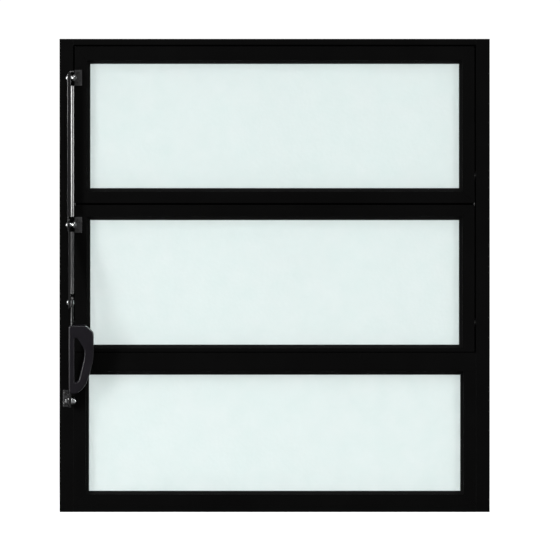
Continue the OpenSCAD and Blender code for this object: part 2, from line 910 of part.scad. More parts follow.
module lever_bracket_screws() {
    color(black) for (z = foot_screw_z) translate([foot_screw_x, room_y - bracket_t, z]) {
        rotate([-90, 0, 0]) cylinder(h = plate_screw_length, r = screw_r);
        rotate([90, 0, 0]) cylinder(h = plate_head_t, r = plate_head_r);
    }
}

// Stack on the lever's pivot bolt, from left to right.
bolt_head_t = 2.4;
bolt_x0 = ear_x1 - bracket_t - bolt_head_t;
bar_x1 = bar_x0 + bar_t;
nut_x0 = bar_x1 + washer_t + 0.1;
bolt_x1 = nut_x0 + nut_t + 1;

module lever_pivot_bolt() {
    color(zinc) {
        rod_x(bolt_x0, bolt_x1, bolt_r, lever_y, lever_z);
        translate([bolt_x0, lever_y, lever_z]) rotate([0, 90, 0]) cylinder(h = bolt_head_t, r = bolt_head_r, $fn = 6);
    }
}

module washer(x0, x1) {
    difference() {
        rod_x(x0, x1, nut_r, lever_y, lever_z);
        rod_x(x0 - 1, x1 + 1, bolt_r + run, lever_y, lever_z);
    }
}

module lever_pivot_washers() {
    color(zinc) {
        washer(ear_x1, bar_x0 - 0.05);
        washer(bar_x1 + 0.05, nut_x0);
    }
}

module lever_pivot_nut() {
    color(zinc) difference() {
        translate([nut_x0, lever_y, lever_z]) rotate([0, 90, 0]) cylinder(h = nut_t, r = nut_r, $fn = 6);
        rod_x(nut_x0 - 1, nut_x0 + nut_t + 1, bolt_r + run, lever_y, lever_z);
    }
}

module on_lever() {
    translate([0, lever_y, lever_z]) rotate([lever_lean, 0, 0]) children();
}

// Edge view (x, u) of the bent bar, grown by g.
module bar_edge(g) {
    slope = bar_jog * 2;
    u0 = -bar_tail - bar_w / 2;
    u1 = lever_length + bar_head + bar_w / 2;
    x = [bar_x0 - g, bar_x0 + bar_t + g];
    polygon([
        [x[0], u0], [x[0], jog_u + g / 2], [x[0] + bar_jog, jog_u + slope + g / 2], [x[0] + bar_jog, u1],
        [x[1] + bar_jog, u1], [x[1] + bar_jog, jog_u + slope - g / 2], [x[1], jog_u - g / 2], [x[1], u0]
    ]);
}

module lever_bar() {
    color(black) on_lever() difference() {
        intersection() {
            along_y(-bar_w / 2, bar_w / 2) bar_edge(0);
            along_x(bar_x0 - 1, bar_x1 + bar_jog + 1) {
                span([-bar_w / 2, -bar_tail], [bar_w / 2, lever_length + bar_head]);
                for (u = [-bar_tail, lever_length + bar_head]) translate([0, u]) circle(r = bar_w / 2);
            }
        }
        rod_x(bar_x0 - 1, bar_x1 + 1, bolt_r + run, 0, 0);
        rod_x(bar_x0 + bar_jog - 1, bar_x1 + bar_jog + 1, rivet_r + run, 0, lever_length);
        for (u = grip_screw_u) {
            rod_x(bar_x0 - 1, bar_x1 + bar_jog + 1, screw_r + fit, 0, u);
            translate([bar_x0 - eps, 0, u]) rotate([0, 90, 0]) cylinder(h = screw_r + fit, r1 = flat_head_r + fit, r2 = screw_r + fit);
        }
    }
}

// D-shaped grip seen from the room, as an (x, u) outline: straight back, bellied front.
spine_w = 8.2;
arm_w = 13.2;

module grip_outline() {
    top = grip_u0 + grip_h;
    x = bar_x0;
    polygon([
        [x, grip_u0], [x, top], [x + 0.66 * grip_reach, top], [x + 0.97 * grip_reach, top - 10],
        [x + grip_reach, top - 13], [x + grip_reach, top - 46],
        [x + 0.88 * grip_reach, top - 64], [x + 0.74 * grip_reach, top - 79],
        [x + 0.58 * grip_reach, top - 89], [x + 0.32 * grip_reach, grip_u0]
    ]);
}

module finger_hole() {
    top = grip_u0 + grip_h;
    x = bar_x0 + spine_w;
    reach = grip_reach - spine_w - arm_w;
    polygon([
        [x, grip_u0 + 15], [x, top - 18], [x + 0.25 * reach, top - 17.5], [x + 0.68 * reach, top - 26],
        [x + reach, top - 34], [x + reach, top - 44], [x + 0.78 * reach, top - 57], [x + 0.4 * reach, grip_u0 + 18]
    ]);
}

module lever_grip() {
    color(nylon) on_lever() difference() {
        along_y(-grip_d / 2, grip_d / 2) difference() {
            grip_outline();
            finger_hole();
        }
        along_y(-bar_w / 2 - fit, bar_w / 2 + fit) bar_edge(fit);
        for (u = grip_screw_u) rod_x(bar_x0 - 1, bar_x0 + grip_screw_length + 1, screw_r + run, 0, u);
    }
}

module grip_screws() {
    color(zinc) on_lever() for (u = grip_screw_u) translate([bar_x0, 0, u]) rotate([0, 90, 0])
        countersunk(grip_screw_length, flat_head_r);
}

module lever_link_rivet() {
    x0 = bar_x0 + bar_jog;
    rivet(lower_rod_x0 - fit, x0 + bar_t, link_y, link_z);
    color(zinc) difference() {
        rod_x(lower_rod_x0 + rod_t + fit, x0, spacer_neck, link_y, link_z);
        rod_x(lower_rod_x0, x0 + 1, rivet_r - fit, link_y, link_z);
    }
}

left_jamb();
right_jamb();
head_rail();
sill_rail();
transom_rail();
frame_screws();
left_pile_seal();
right_pile_seal();
head_weatherstrip();
transom_weatherstrip();
left_pivot_bushes();
right_pivot_bushes();
fixed_left_channel();
fixed_right_channel();
fixed_bottom_channel();
channel_screws();
fixed_glass();
fixed_glass_gasket();
lever_bracket();
lever_bracket_screws();
lever_pivot_bolt();
lever_pivot_washers();
lever_pivot_nut();
upper_sash_top_rail();
upper_sash_bottom_rail();
upper_sash_left_stile();
upper_sash_right_stile();
upper_sash_corner_keys();
upper_glass();
upper_glass_gasket();
upper_pivot_pins();
upper_sash_bracket();
upper_bracket_screws();
upper_link_rivet();
upper_link_spacer();
interlock_seal();
lower_sash_top_rail();
lower_sash_bottom_rail();
lower_sash_left_stile();
lower_sash_right_stile();
lower_sash_corner_keys();
lower_glass();
lower_glass_gasket();
lower_pivot_pins();
lower_sash_bracket();
lower_bracket_screws();
middle_link_rivet();
middle_link_spacer();
upper_link_rod();
lower_link_rod();
lever_bar();
lever_grip();
grip_screws();
lever_link_rivet();
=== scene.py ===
"""Tilting window with a side lever: the looks of its extrusions, panes, seals and linkage.

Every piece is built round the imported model, in metres: +X to the right seen from the room,
+Y from the room to the outside, +Z up.
"""

from __future__ import annotations

import json
import logging
import math
from collections.abc import Callable, Iterable
from dataclasses import dataclass
from enum import Enum

import bmesh
import bpy
from mathutils import Matrix, Vector, noise

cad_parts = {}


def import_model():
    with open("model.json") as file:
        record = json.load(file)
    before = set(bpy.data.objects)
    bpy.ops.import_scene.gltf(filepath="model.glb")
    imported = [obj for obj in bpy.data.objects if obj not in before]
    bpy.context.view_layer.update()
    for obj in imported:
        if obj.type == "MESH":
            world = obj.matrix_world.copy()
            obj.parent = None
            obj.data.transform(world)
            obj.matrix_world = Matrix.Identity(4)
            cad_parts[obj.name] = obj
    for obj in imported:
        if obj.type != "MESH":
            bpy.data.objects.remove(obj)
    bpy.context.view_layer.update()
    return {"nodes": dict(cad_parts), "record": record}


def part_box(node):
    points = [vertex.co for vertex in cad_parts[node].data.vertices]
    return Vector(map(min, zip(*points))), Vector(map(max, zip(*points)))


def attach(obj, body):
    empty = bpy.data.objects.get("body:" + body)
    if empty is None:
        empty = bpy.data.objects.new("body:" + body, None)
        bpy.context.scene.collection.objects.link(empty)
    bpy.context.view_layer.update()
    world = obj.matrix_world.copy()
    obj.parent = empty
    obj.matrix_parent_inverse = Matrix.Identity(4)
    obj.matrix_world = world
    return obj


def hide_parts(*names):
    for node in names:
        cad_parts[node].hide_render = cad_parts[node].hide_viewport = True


log = logging.getLogger("tilting_window")

Mesh = bmesh.types.BMesh
Vert = bmesh.types.BMVert
Edge = bmesh.types.BMEdge
Face = bmesh.types.BMFace
Node = bpy.types.Node
Tree = bpy.types.NodeTree
Socket = bpy.types.NodeSocket
Solid = bpy.types.Object
Points = list[tuple[float, float]]

MM = 0.001
TURN_STEPS = 40          # faces round a turned piece
HEX_STEPS = 48           # faces round a turned piece that gets six flats
WELD = 0.002 * MM        # vertices nearer than this are one
FLAT_ANGLE = 1.0         # degrees under which neighbouring triangles are one face
SHARP_ANGLE = 28.0       # degrees over which an edge is broken with a bevel
HOLE_FACET = 1.0         # millimetres up to which an edge belongs to the rim of a drilled hole
BEND_STEPS = 6           # faces round the bend of a pressed plate


# --- Colour and node helpers ---

def linear(code: str) -> tuple[float, float, float, float]:
    """Turns an sRGB hex colour into linear RGBA.

    Args:
        code: six hex digits, such as "0A0A0A".

    Returns:
        Linear red, green and blue, and an alpha of 1.
    """
    channels = [int(code[i:i + 2], 16) / 255 for i in (0, 2, 4)]
    values = [c / 12.92 if c <= 0.04045 else ((c + 0.055) / 1.055) ** 2.4 for c in channels]
    return (values[0], values[1], values[2], 1.0)


def per_metre(size_mm: float) -> float:
    """Gives a texture scale whose cells have this size in millimetres."""
    return 1.0 / (size_mm * MM)


def add_node(
    tree: Tree,
    kind: str,
    settings: dict[str, object] | None = None,
    inputs: dict[str, object] | None = None,
) -> Node:
    """Adds a shader node with its settings, values and links.

    Args:
        tree: the node tree that takes the node.
        kind: the node's type name.
        settings: attributes of the node.
        inputs: by socket name, a value or the output socket that is linked to it.

    Returns:
        The new node.
    """
    made = tree.nodes.new(kind)
    for key, value in (settings or {}).items():
        setattr(made, key, value)
    for key, value in (inputs or {}).items():
        if isinstance(value, Socket):
            tree.links.new(value, made.inputs[key])
        else:
            made.inputs[key].default_value = value
    return made


# --- Finishes ---

@dataclass(frozen=True)
class Finish:
    """A surface finish: one material with a base colour, a fine relief and a little variation."""

    name: str
    slot: str
    colour: str
    second: str
    roughness: tuple[float, float]
    grain_mm: float
    patch_mm: float
    relief_mm: float
    relief_strength: float = 0.2
    metallic: float = 0.0
    specular: float = 0.5
    coat: float = 0.0

    def grain(self, tree: Tree, place: Socket) -> Socket:
        """Gives the height of the fine relief.

        Args:
            tree: the material's node tree.
            place: object coordinates.

        Returns:
            The socket that carries the height.
        """
        texture = add_node(
            tree, "ShaderNodeTexNoise", None,
            {"Vector": place, "Scale": per_metre(self.grain_mm), "Detail": 3.0, "Roughness": 0.55},
        )
        return texture.outputs["Fac"]

    def extra(self, shader: Node) -> None:
        """Sets what only some finishes have on the shader."""

    def material(self) -> bpy.types.Material:
        """Builds the material, or finds it if it is already built.

        Returns:
            The finished material.
        """
        known = bpy.data.materials.get(self.name)
        if known is not None:
            return known
        made = bpy.data.materials.new(self.name)
        made.use_nodes = True
        tree = made.node_tree
        shader = tree.nodes["Principled BSDF"]
        place = add_node(tree, "ShaderNodeTexCoord").outputs["Object"]
        patches = add_node(
            tree, "ShaderNodeTexNoise", None,
            {"Vector": place, "Scale": per_metre(self.patch_mm), "Detail": 4.0},
        ).outputs["Fac"]
        tint = add_node(
            tree, "ShaderNodeMixRGB", None,
            {"Fac": patches, "Color1": linear(self.colour), "Color2": linear(self.second)},
        )
        gloss = add_node(
            tree, "ShaderNodeMapRange", None,
            {"Value": patches, "From Min": 0.3, "From Max": 0.7,
             "To Min": self.roughness[0], "To Max": self.roughness[1]},
        )
        relief = add_node(
            tree, "ShaderNodeBump", None,
            {"Height": self.grain(tree, place), "Distance": self.relief_mm * MM,
             "Strength": self.relief_strength},
        )
        tree.links.new(tint.outputs["Color"], shader.inputs["Base Color"])
        tree.links.new(gloss.outputs["Result"], shader.inputs["Roughness"])
        tree.links.new(relief.outputs["Normal"], shader.inputs["Normal"])
        shader.inputs["Metallic"].default_value = self.metallic
        if self.metallic < 1.0:
            shader.inputs["Specular IOR Level"].default_value = self.specular
        shader.inputs["Coat Weight"].default_value = self.coat
        self.extra(shader)
        return made


@dataclass(frozen=True)
class ObscureGlass(Finish):
    """Rolled obscure glass: shallow round dimples pressed into one face blur what is behind it."""

    transmission: float = 0.8
    ior: float = 1.5
    dimple_mm: float = 5.0

    def grain(self, tree: Tree, place: Socket) -> Socket:
        """Adds soft dimples to the fine relief.

        Args:
            tree: the material's node tree.
            place: object coordinates.

        Returns:
            The socket that carries the height.
        """
        dimples = add_node(
            tree, "ShaderNodeTexVoronoi", {"feature": "SMOOTH_F1"},
            {"Vector": place, "Scale": per_metre(self.dimple_mm), "Smoothness": 0.6},
        )
        fine = super().grain(tree, place)
        both = add_node(
            tree, "ShaderNodeMath", {"operation": "MULTIPLY_ADD"},
            {0: fine, 1: 0.25, 2: dimples.outputs["Distance"]},
        )
        return both.outputs["Value"]

    def extra(self, shader: Node) -> None:
        """Lets light through."""
        shader.inputs["Transmission Weight"].default_value = self.transmission
        shader.inputs["IOR"].default_value = self.ior


@dataclass(frozen=True)
class PileFinish(Finish):
    """Woven pile: upright tufts in rows, which swallow light."""

    thread_mm: float = 0.6

    def grain(self, tree: Tree, place: Socket) -> Socket:
        """Gives rows of tufts along the height and the length.

        Args:
            tree: the material's node tree.
            place: object coordinates.

        Returns:
            The socket that carries the height.
        """
        rows = add_node(
            tree, "ShaderNodeTexWave", {"wave_type": "BANDS", "bands_direction": "DIAGONAL"},
            {"Vector": place, "Scale": per_metre(self.thread_mm) / 20, "Distortion": 2.0, "Detail": 2.0},
        )
        return rows.outputs["Fac"]

    def extra(self, shader: Node) -> None:
        """Adds the sheen of fibres."""
        shader.inputs["Sheen Weight"].default_value = 0.3


@dataclass(frozen=True)
class TurnedZinc(Finish):
    """Bright zinc plate on cold-headed steel: fine rings from the die and a soft crystal bloom."""

    ring_mm: float = 0.45

    def grain(self, tree: Tree, place: Socket) -> Socket:
        """Gives fine bands across the pin's axis over the crystal bloom.

        Args:
            tree: the material's node tree.
            place: object coordinates.

        Returns:
            The socket that carries the height.
        """
        rings = add_node(
            tree, "ShaderNodeTexWave", {"wave_type": "BANDS", "bands_direction": "X"},
            {"Vector": place, "Scale": per_metre(self.ring_mm) / 20, "Distortion": 0.6},
        )
        bloom = super().grain(tree, place)
        both = add_node(
            tree, "ShaderNodeMath", {"operation": "MULTIPLY_ADD"},
            {0: rings.outputs["Fac"], 1: 0.35, 2: bloom},
        )
        return both.outputs["Value"]


class Finishes:
    """Every finish of the window, by the name of what the real surface is."""

    # Satin polyester powder on extrusions: nearly black, a faint orange peel, soft wide highlights.
    powder = Finish("powder_coated_aluminium", "frame_aluminium", "040404", "060606", (0.42, 0.5),
                    1.6, 60.0, 0.03, 0.25, specular=0.05)
    # Rolled soda-lime glass with a pale green cast, blurred by its dimpled face.
    glass = ObscureGlass("rolled_obscure_glass", "obscure_glass", "EAF2F1", "DDEAE8", (0.42, 0.52),
                         1.4, 26.0, 0.25, 0.35)
    # Extruded EPDM: dull, dry and darker than the frame.
    rubber = Finish("extruded_epdm", "epdm_rubber", "040404", "070707", (0.7, 0.85), 0.5, 20.0, 0.02,
                    0.3, specular=0.15)
    pile = PileFinish("woven_polypropylene_pile", "pile", "0B0B0B", "161616", (0.85, 0.95), 0.6, 8.0,
                      0.25, 0.6, specular=0.1)
    # Black cast nylon: slightly waxy.
    bush_nylon = Finish("black_cast_nylon", "pivot_nylon", "0E0E0E", "141414", (0.4, 0.5), 0.4, 12.0,
                        0.01, 0.2, specular=0.3)
    # Glass-filled nylon from a spark-eroded mould: charcoal with a cool violet cast and a fine grain.
    grip_nylon = Finish("moulded_charcoal_nylon", "grip_nylon", "0B090E", "110E15", (0.28, 0.4), 0.7,
                        14.0, 0.04, 0.35, specular=0.32)
    # Stoved gloss enamel on rolled steel: deep black with a clear, slightly wavy shine.
    enamel = Finish("stoved_black_enamel", "black_steel", "0B0B0C", "101011", (0.17, 0.25), 2.5, 30.0,
                    0.02, 0.2, specular=0.45, coat=0.35)
    # Dark grey electrophoretic coat on pressed steel: flat, a shade lighter than the frame.
    bracket_coat = Finish("dark_grey_coated_steel", "bracket_steel", "262627", "303031", (0.24, 0.36),
                          0.8, 9.0, 0.02, 0.3)
    # Oiled black oxide on screws.
    oxide = Finish("black_oxide_steel", "black_screw", "2A2A2B", "343332", (0.26, 0.4), 0.4, 3.0, 0.01,
                   0.3, metallic=0.15)
    zinc = TurnedZinc("bright_zinc_plate", "zinc_steel", "D2D3D3", "BFC1C2", (0.2, 0.34), 0.9, 5.0,
                      0.012, 0.4, metallic=1.0)
    # Mill-finish extrusion of the hidden corner keys.
    mill = Finish("mill_finish_aluminium", "key_aluminium", "B9BBBD", "A9ABAD", (0.35, 0.5), 0.5, 10.0,
                  0.015, 0.3, metallic=1.0)


# --- Mesh helpers ---

class Axis(Enum):
    """A direction that a turned piece or a screw points in."""

    RIGHT = Vector((1, 0, 0))
    LEFT = Vector((-1, 0, 0))
    OUTSIDE = Vector((0, 1, 0))
    ROOM = Vector((0, -1, 0))


@dataclass(frozen=True)
class Island:
    """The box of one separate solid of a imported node, in metres."""

    low: Vector
    high: Vector

    @property
    def middle(self) -> Vector:
        """Gives the middle of the box."""
        return (self.low + self.high) / 2

    @property
    def size(self) -> Vector:
        """Gives the lengths of the box's sides."""
        return self.high - self.low


def merged_copy(node: Solid) -> Mesh:
    """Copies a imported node's mesh, joined at its seams, with flat faces made whole.

    Args:
        node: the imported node's object.

    Returns:
        A new bmesh.
    """
    bm = bmesh.new()
    bm.from_mesh(node.data)
    weld(bm, bm.verts)
    bmesh.ops.dissolve_limit(
        bm, angle_limit=math.radians(FLAT_ANGLE), use_dissolve_boundaries=False,
        verts=bm.verts, edges=bm.edges,
    )
    return bm


def axis_point(node: str, x: float | None = None) -> Vector:
    """Gives a point of the axis of a part turned about X.

    Args:
        node: the part's node.
        x: where the point lies, or None for the part's left end.

    Returns:
        The point.
    """
    low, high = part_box(node)
    return Vector((low.x if x is None else x, (low.y + high.y) / 2, (low.z + high.z) / 2))


def width_of(node: str) -> float:
    """Gives a node's size across the window, in millimetres."""
    low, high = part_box(node)
    return (high.x - low.x) / MM


def weld(bm: Mesh, verts: Iterable[Vert]) -> None:
    """Joins vertices that lie on each other."""
    bmesh.ops.remove_doubles(bm, verts=list(verts), dist=WELD)


def bevel(bm: Mesh, edges: list[Edge], width_mm: float, segments: int, clamp: bool = False) -> None:
    """Rounds or chamfers edges.

    Args:
        bm: the mesh.
        edges: the edges.
        width_mm: how far the bevel reaches into each face.
        segments: faces across the bevel.
        clamp: whether the bevel narrows where it has no room.
    """
    bmesh.ops.bevel(
        bm, geom=edges, offset=width_mm * MM, offset_type="OFFSET", affect="EDGES", segments=segments,
        profile=0.5, clamp_overlap=clamp, material=-1,
    )


def push(bm: Mesh, faces: list[Face], way: Vector | tuple[float, float, float]) -> list[Vert]:
    """Extrudes faces and moves what is new.

    Args:
        bm: the mesh.
        faces: the faces.
        way: how far the new faces move, in metres.

    Returns:
        The vertices that moved.
    """
    grown = bmesh.ops.extrude_face_region(bm, geom=faces)["geom"]
    moved = [v for v in grown if isinstance(v, Vert)]
    bmesh.ops.translate(bm, verts=moved, vec=way)
    return moved


def islands(node: Solid) -> list[Island]:
    """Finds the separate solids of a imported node, in order of height and then from left to right.

    Args:
        node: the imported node's object.

    Returns:
        One box for each solid.
    """
    bm = bmesh.new()
    bm.from_mesh(node.data)
    weld(bm, bm.verts)
    left = set(bm.verts)
    found = []
    while left:
        edge_of_search = [left.pop()]
        members = list(edge_of_search)
        while edge_of_search:
            here = edge_of_search.pop()
            for edge in here.link_edges:
                other = edge.other_vert(here)
                if other in left:
                    left.remove(other)
                    members.append(other)
                    edge_of_search.append(other)
        places = [v.co for v in members]
        low = Vector([min(p[i] for p in places) for i in range(3)])
        high = Vector([max(p[i] for p in places) for i in range(3)])
        found.append(Island(low, high))
    bm.free()
    return sorted(found, key=lambda i: (round(i.middle.z, 4), i.middle.x))


def break_edges(bm: Mesh, width_mm: float, segments: int = 2, longer_mm: float = 0.0) -> None:
    """Bevels the sharp edges of a mesh.

    Args:
        bm: the mesh.
        width_mm: how far the bevel reaches into each face.
        segments: faces across the bevel.
        longer_mm: only edges over this length are broken, which leaves the rims of holes sharp.
    """
    sharp = [
        e for e in bm.edges
        if len(e.link_faces) == 2 and e.calc_face_angle() > math.radians(SHARP_ANGLE)
        and e.calc_length() > longer_mm * MM
    ]
    bevel(bm, sharp, width_mm, segments)


def revolve(bm: Mesh, outline: Points, start: Vector, axis: Vector, steps: int = TURN_STEPS,
            ring: bool = False) -> list[Vert]:
    """Turns an outline about an axis into a closed solid, or a closed outline into a ring.

    Args:
        bm: the mesh that takes the solid.
        outline: points as (distance along the axis, radius), in millimetres, from axis to axis, or the
            corners of a ring's section.
        start: where distance 0 lies.
        axis: unit vector along the axis.
        steps: faces round the solid.
        ring: whether the outline is closed, as for a washer or a bush.

    Returns:
        The new vertices.
    """
    side = axis.orthogonal().normalized()
    before = set(bm.verts)
    line = [bm.verts.new(start + axis * (a * MM) + side * (r * MM)) for a, r in outline]
    edges = [bm.edges.new((line[i - 1], line[i])) for i in range(0 if ring else 1, len(line))]
    bmesh.ops.spin(
        bm, geom=line + edges, cent=start, axis=axis, angle=math.tau, steps=steps, use_merge=True,
    )
    weld(bm, [v for v in bm.verts if v not in before])
    made = [v for v in bm.verts if v not in before]
    bmesh.ops.recalc_face_normals(bm, faces=list({f for v in made for f in v.link_faces}))
    return made


def cut(bm: Mesh, cutter: Mesh) -> Mesh:
    """Cuts one closed mesh out of another.

    Args:
        bm: the mesh to cut, which is freed.
        cutter: the mesh that is taken away, which is freed.

    Returns:
        The mesh that is left.
    """
    objects = []
    for name, source in (("cut_body", bm), ("cut_tool", cutter)):
        mesh = bpy.data.meshes.new(name)
        source.to_mesh(mesh)
        source.free()
        made = bpy.data.objects.new(name, mesh)
        bpy.context.scene.collection.objects.link(made)
        objects.append(made)
    body, tool = objects
    step = body.modifiers.new("cut", "BOOLEAN")
    step.operation = "DIFFERENCE"
    step.solver = "EXACT"
    step.object = tool
    bpy.context.view_layer.update()
    result = bpy.data.meshes.new_from_object(body.evaluated_get(bpy.context.evaluated_depsgraph_get()))
    left = bmesh.new()
    left.from_mesh(result)
    bpy.data.meshes.remove(result)
    for made in objects:
        mesh = made.data
        bpy.data.objects.remove(made)
        bpy.data.meshes.remove(mesh)
    return left


@dataclass
class Workshop:
    """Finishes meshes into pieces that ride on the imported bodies."""

    nodes: dict[str, Solid]
    body_of: dict[str, str]

    def finish(self, bm: Mesh, node: str, finish: Finish, smooth: float = 40.0, keep_in: bool = True) -> None:
        """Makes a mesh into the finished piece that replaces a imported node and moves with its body.

        Args:
            bm: the mesh, which is freed.
            node: the node's name.
            finish: the piece's finish.
            smooth: degrees between faces under which shading is smooth.
            keep_in: whether the piece is held inside the node's box.
        """
        mesh = bpy.data.meshes.new(node + "_piece")
        if bm.calc_volume(signed=True) < 0:
            bmesh.ops.reverse_faces(bm, faces=list(bm.faces))
        if keep_in:
            low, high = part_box(node)
            for vert in bm.verts:
                vert.co = [min(max(c, a), b) for c, a, b in zip(vert.co, low, high)]
        for face in bm.faces:
            face.smooth = True
        bm.to_mesh(mesh)
        bm.free()
        mesh.set_sharp_from_angle(angle=math.radians(smooth))
        mesh.materials.append(finish.material())
        piece = bpy.data.objects.new(node + "_piece", mesh)
        bpy.context.scene.collection.objects.link(piece)
        weighted = piece.modifiers.new("face_weighted", "WEIGHTED_NORMAL")
        weighted.keep_sharp = True
        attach(piece, self.body_of[node])
        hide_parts(node)
        log.info("%s: %d faces", piece.name, len(mesh.polygons))

    def dress(self, node: str, finish: Finish, bevel_mm: float, segments: int = 2) -> None:
        """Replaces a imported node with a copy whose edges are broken.

        Args:
            node: the node's name.
            finish: the copy's finish.
            bevel_mm: width of the broken edges.
            segments: faces across a broken edge.
        """
        bm = merged_copy(self.nodes[node])
        break_edges(bm, bevel_mm, segments)
        self.finish(bm, node, finish)

# --- Turned and formed small parts ---

def dome(depth: float, radius: float, steps: int = 7) -> Points:
    """Gives the outline of a low round head, from its crown on the axis to its rim.

    Args:
        depth: height of the head, in millimetres.
        radius: radius of the rim.
        steps: number of stretches.

    Returns:
        Points as (distance along the axis, radius).
    """
    turn = [math.pi / 2 * i / steps for i in range(steps + 1)]
    return [(depth * (1 - math.cos(t)), radius * math.sin(t)) for t in turn]


def thread(start: float, end: float, radius: float, pitch: float, depth: float) -> Points:
    """Gives the outline of a thread as a row of ridges.

    Args:
        start: where the thread begins along the axis, in millimetres.
        end: where it ends.
        radius: radius over the crests.
        pitch: distance between two crests.
        depth: how deep the roots lie.

    Returns:
        Points as (distance along the axis, radius).
    """
    count = max(1, int((end - start) / pitch))
    step = (end - start) / count
    points = []
    for i in range(count):
        at = start + i * step
        points += [(at + 0.1 * step, radius - depth), (at + 0.45 * step, radius), (at + 0.6 * step, radius)]
    return points + [(end, radius - depth)]


def flats(verts: list[Vert], centre: Vector, corner_mm: float) -> None:
    """Presses six flats on a part turned about X, with two corners up and down.

    Args:
        verts: the part's vertices.
        centre: a point of its axis.
        corner_mm: radius over the corners.
    """
    apothem = corner_mm * MM * math.cos(math.radians(30))
    for vert in verts:
        y, z = vert.co.y - centre.y, vert.co.z - centre.z
        radius = math.hypot(y, z)
        turn = math.degrees(math.atan2(y, z)) % 60 - 30
        limit = apothem / math.cos(math.radians(turn))
        if radius > limit:
            vert.co.y = centre.y + y * limit / radius
            vert.co.z = centre.z + z * limit / radius


@dataclass(frozen=True)
class CrossScrew:
    """A screw with a cross recess. Sizes are in millimetres."""

    head_r: float
    head_t: float
    shank_r: float = 1.7
    countersunk: bool = True
    pitch: float = 1.3
    recess_w: float = 0.85
    recess_depth: float = 1.3
    recess_reach: float = 0.62
    recess_lead: float = 0.4
    recess_taper: float = 0.55
    steps: int = 28

    def build(self, bm: Mesh, recesses: Mesh, top: Vector, axis: Vector,
              length: float) -> None:
        """Turns one screw and lays the shape of its recess.

        Args:
            bm: the mesh that takes the screw.
            recesses: the mesh that takes the recess, to be cut out.
            top: the middle of the head's outer face.
            axis: unit vector from the head into the work.
            length: whole length, in millimetres.
        """
        if self.countersunk:
            head = [(0, 0), (0, self.head_r - 0.12), (0.12, self.head_r), (0.25, self.head_r)]
        else:
            head = dome(self.head_t * 0.7, self.head_r) + [(self.head_t, self.head_r)]
        shank = [(self.head_t, self.shank_r - 0.05)]
        shank += thread(self.head_t + 0.6, length - 1.6, self.shank_r, self.pitch, 0.4)
        revolve(bm, head + shank + [(length, 0)], top, axis, self.steps)
        self.recess(recesses, top, axis)

    def recess(self, bm: Mesh, top: Vector, axis: Vector) -> None:
        """Lays a tapered cross through the head's face.

        Args:
            bm: the mesh that takes it.
            top: the middle of the head's outer face.
            axis: unit vector from the head into the work.
        """
        arm, half = self.head_r * self.recess_reach, self.recess_w / 2
        corners = [(arm, -half), (arm, half), (half, half), (half, arm), (-half, arm), (-half, half),
                   (-arm, half), (-arm, -half), (-half, -half), (-half, -arm), (half, -arm), (half, -half)]
        across = axis.orthogonal().normalized()
        up = axis.cross(across)
        mouth = top - axis * (self.recess_lead * MM)
        verts = [bm.verts.new(mouth + (across * a + up * b) * MM) for a, b in corners]
        tips = push(bm, [bm.faces.new(verts)], axis * ((self.recess_depth + self.recess_lead) * MM))
        middle = top + axis * (self.recess_depth * MM)
        for vert in tips:
            vert.co = middle + (vert.co - middle) * self.recess_taper
        faces = {f for v in verts + tips for f in v.link_faces}
        bmesh.ops.recalc_face_normals(bm, faces=list(faces))


def towards_jamb(island: Island) -> Vector:
    """Gives the direction across the window from its middle to a solid's own side."""
    return Axis.RIGHT.value if island.middle.x > 0 else Axis.LEFT.value


def head_outward(island: Island) -> Vector:
    """Gives the direction of a screw across the window whose head is at the jamb's outer face."""
    return -towards_jamb(island)


def head_inward(island: Island) -> Vector:
    """Gives the direction of a screw that is driven from the glazing pocket into the frame.

    Args:
        island: the screw.

    Returns:
        The direction, as a unit vector.
    """
    if island.size.z > island.size.x:
        return Vector((0, 0, -1))
    return towards_jamb(island)


def drive_outside(_island: Island) -> Vector:
    """Gives the direction of a screw that is driven from the room."""
    return Axis.OUTSIDE.value


def drive_right(_island: Island) -> Vector:
    """Gives the direction of a screw that is driven from the left."""
    return Axis.RIGHT.value


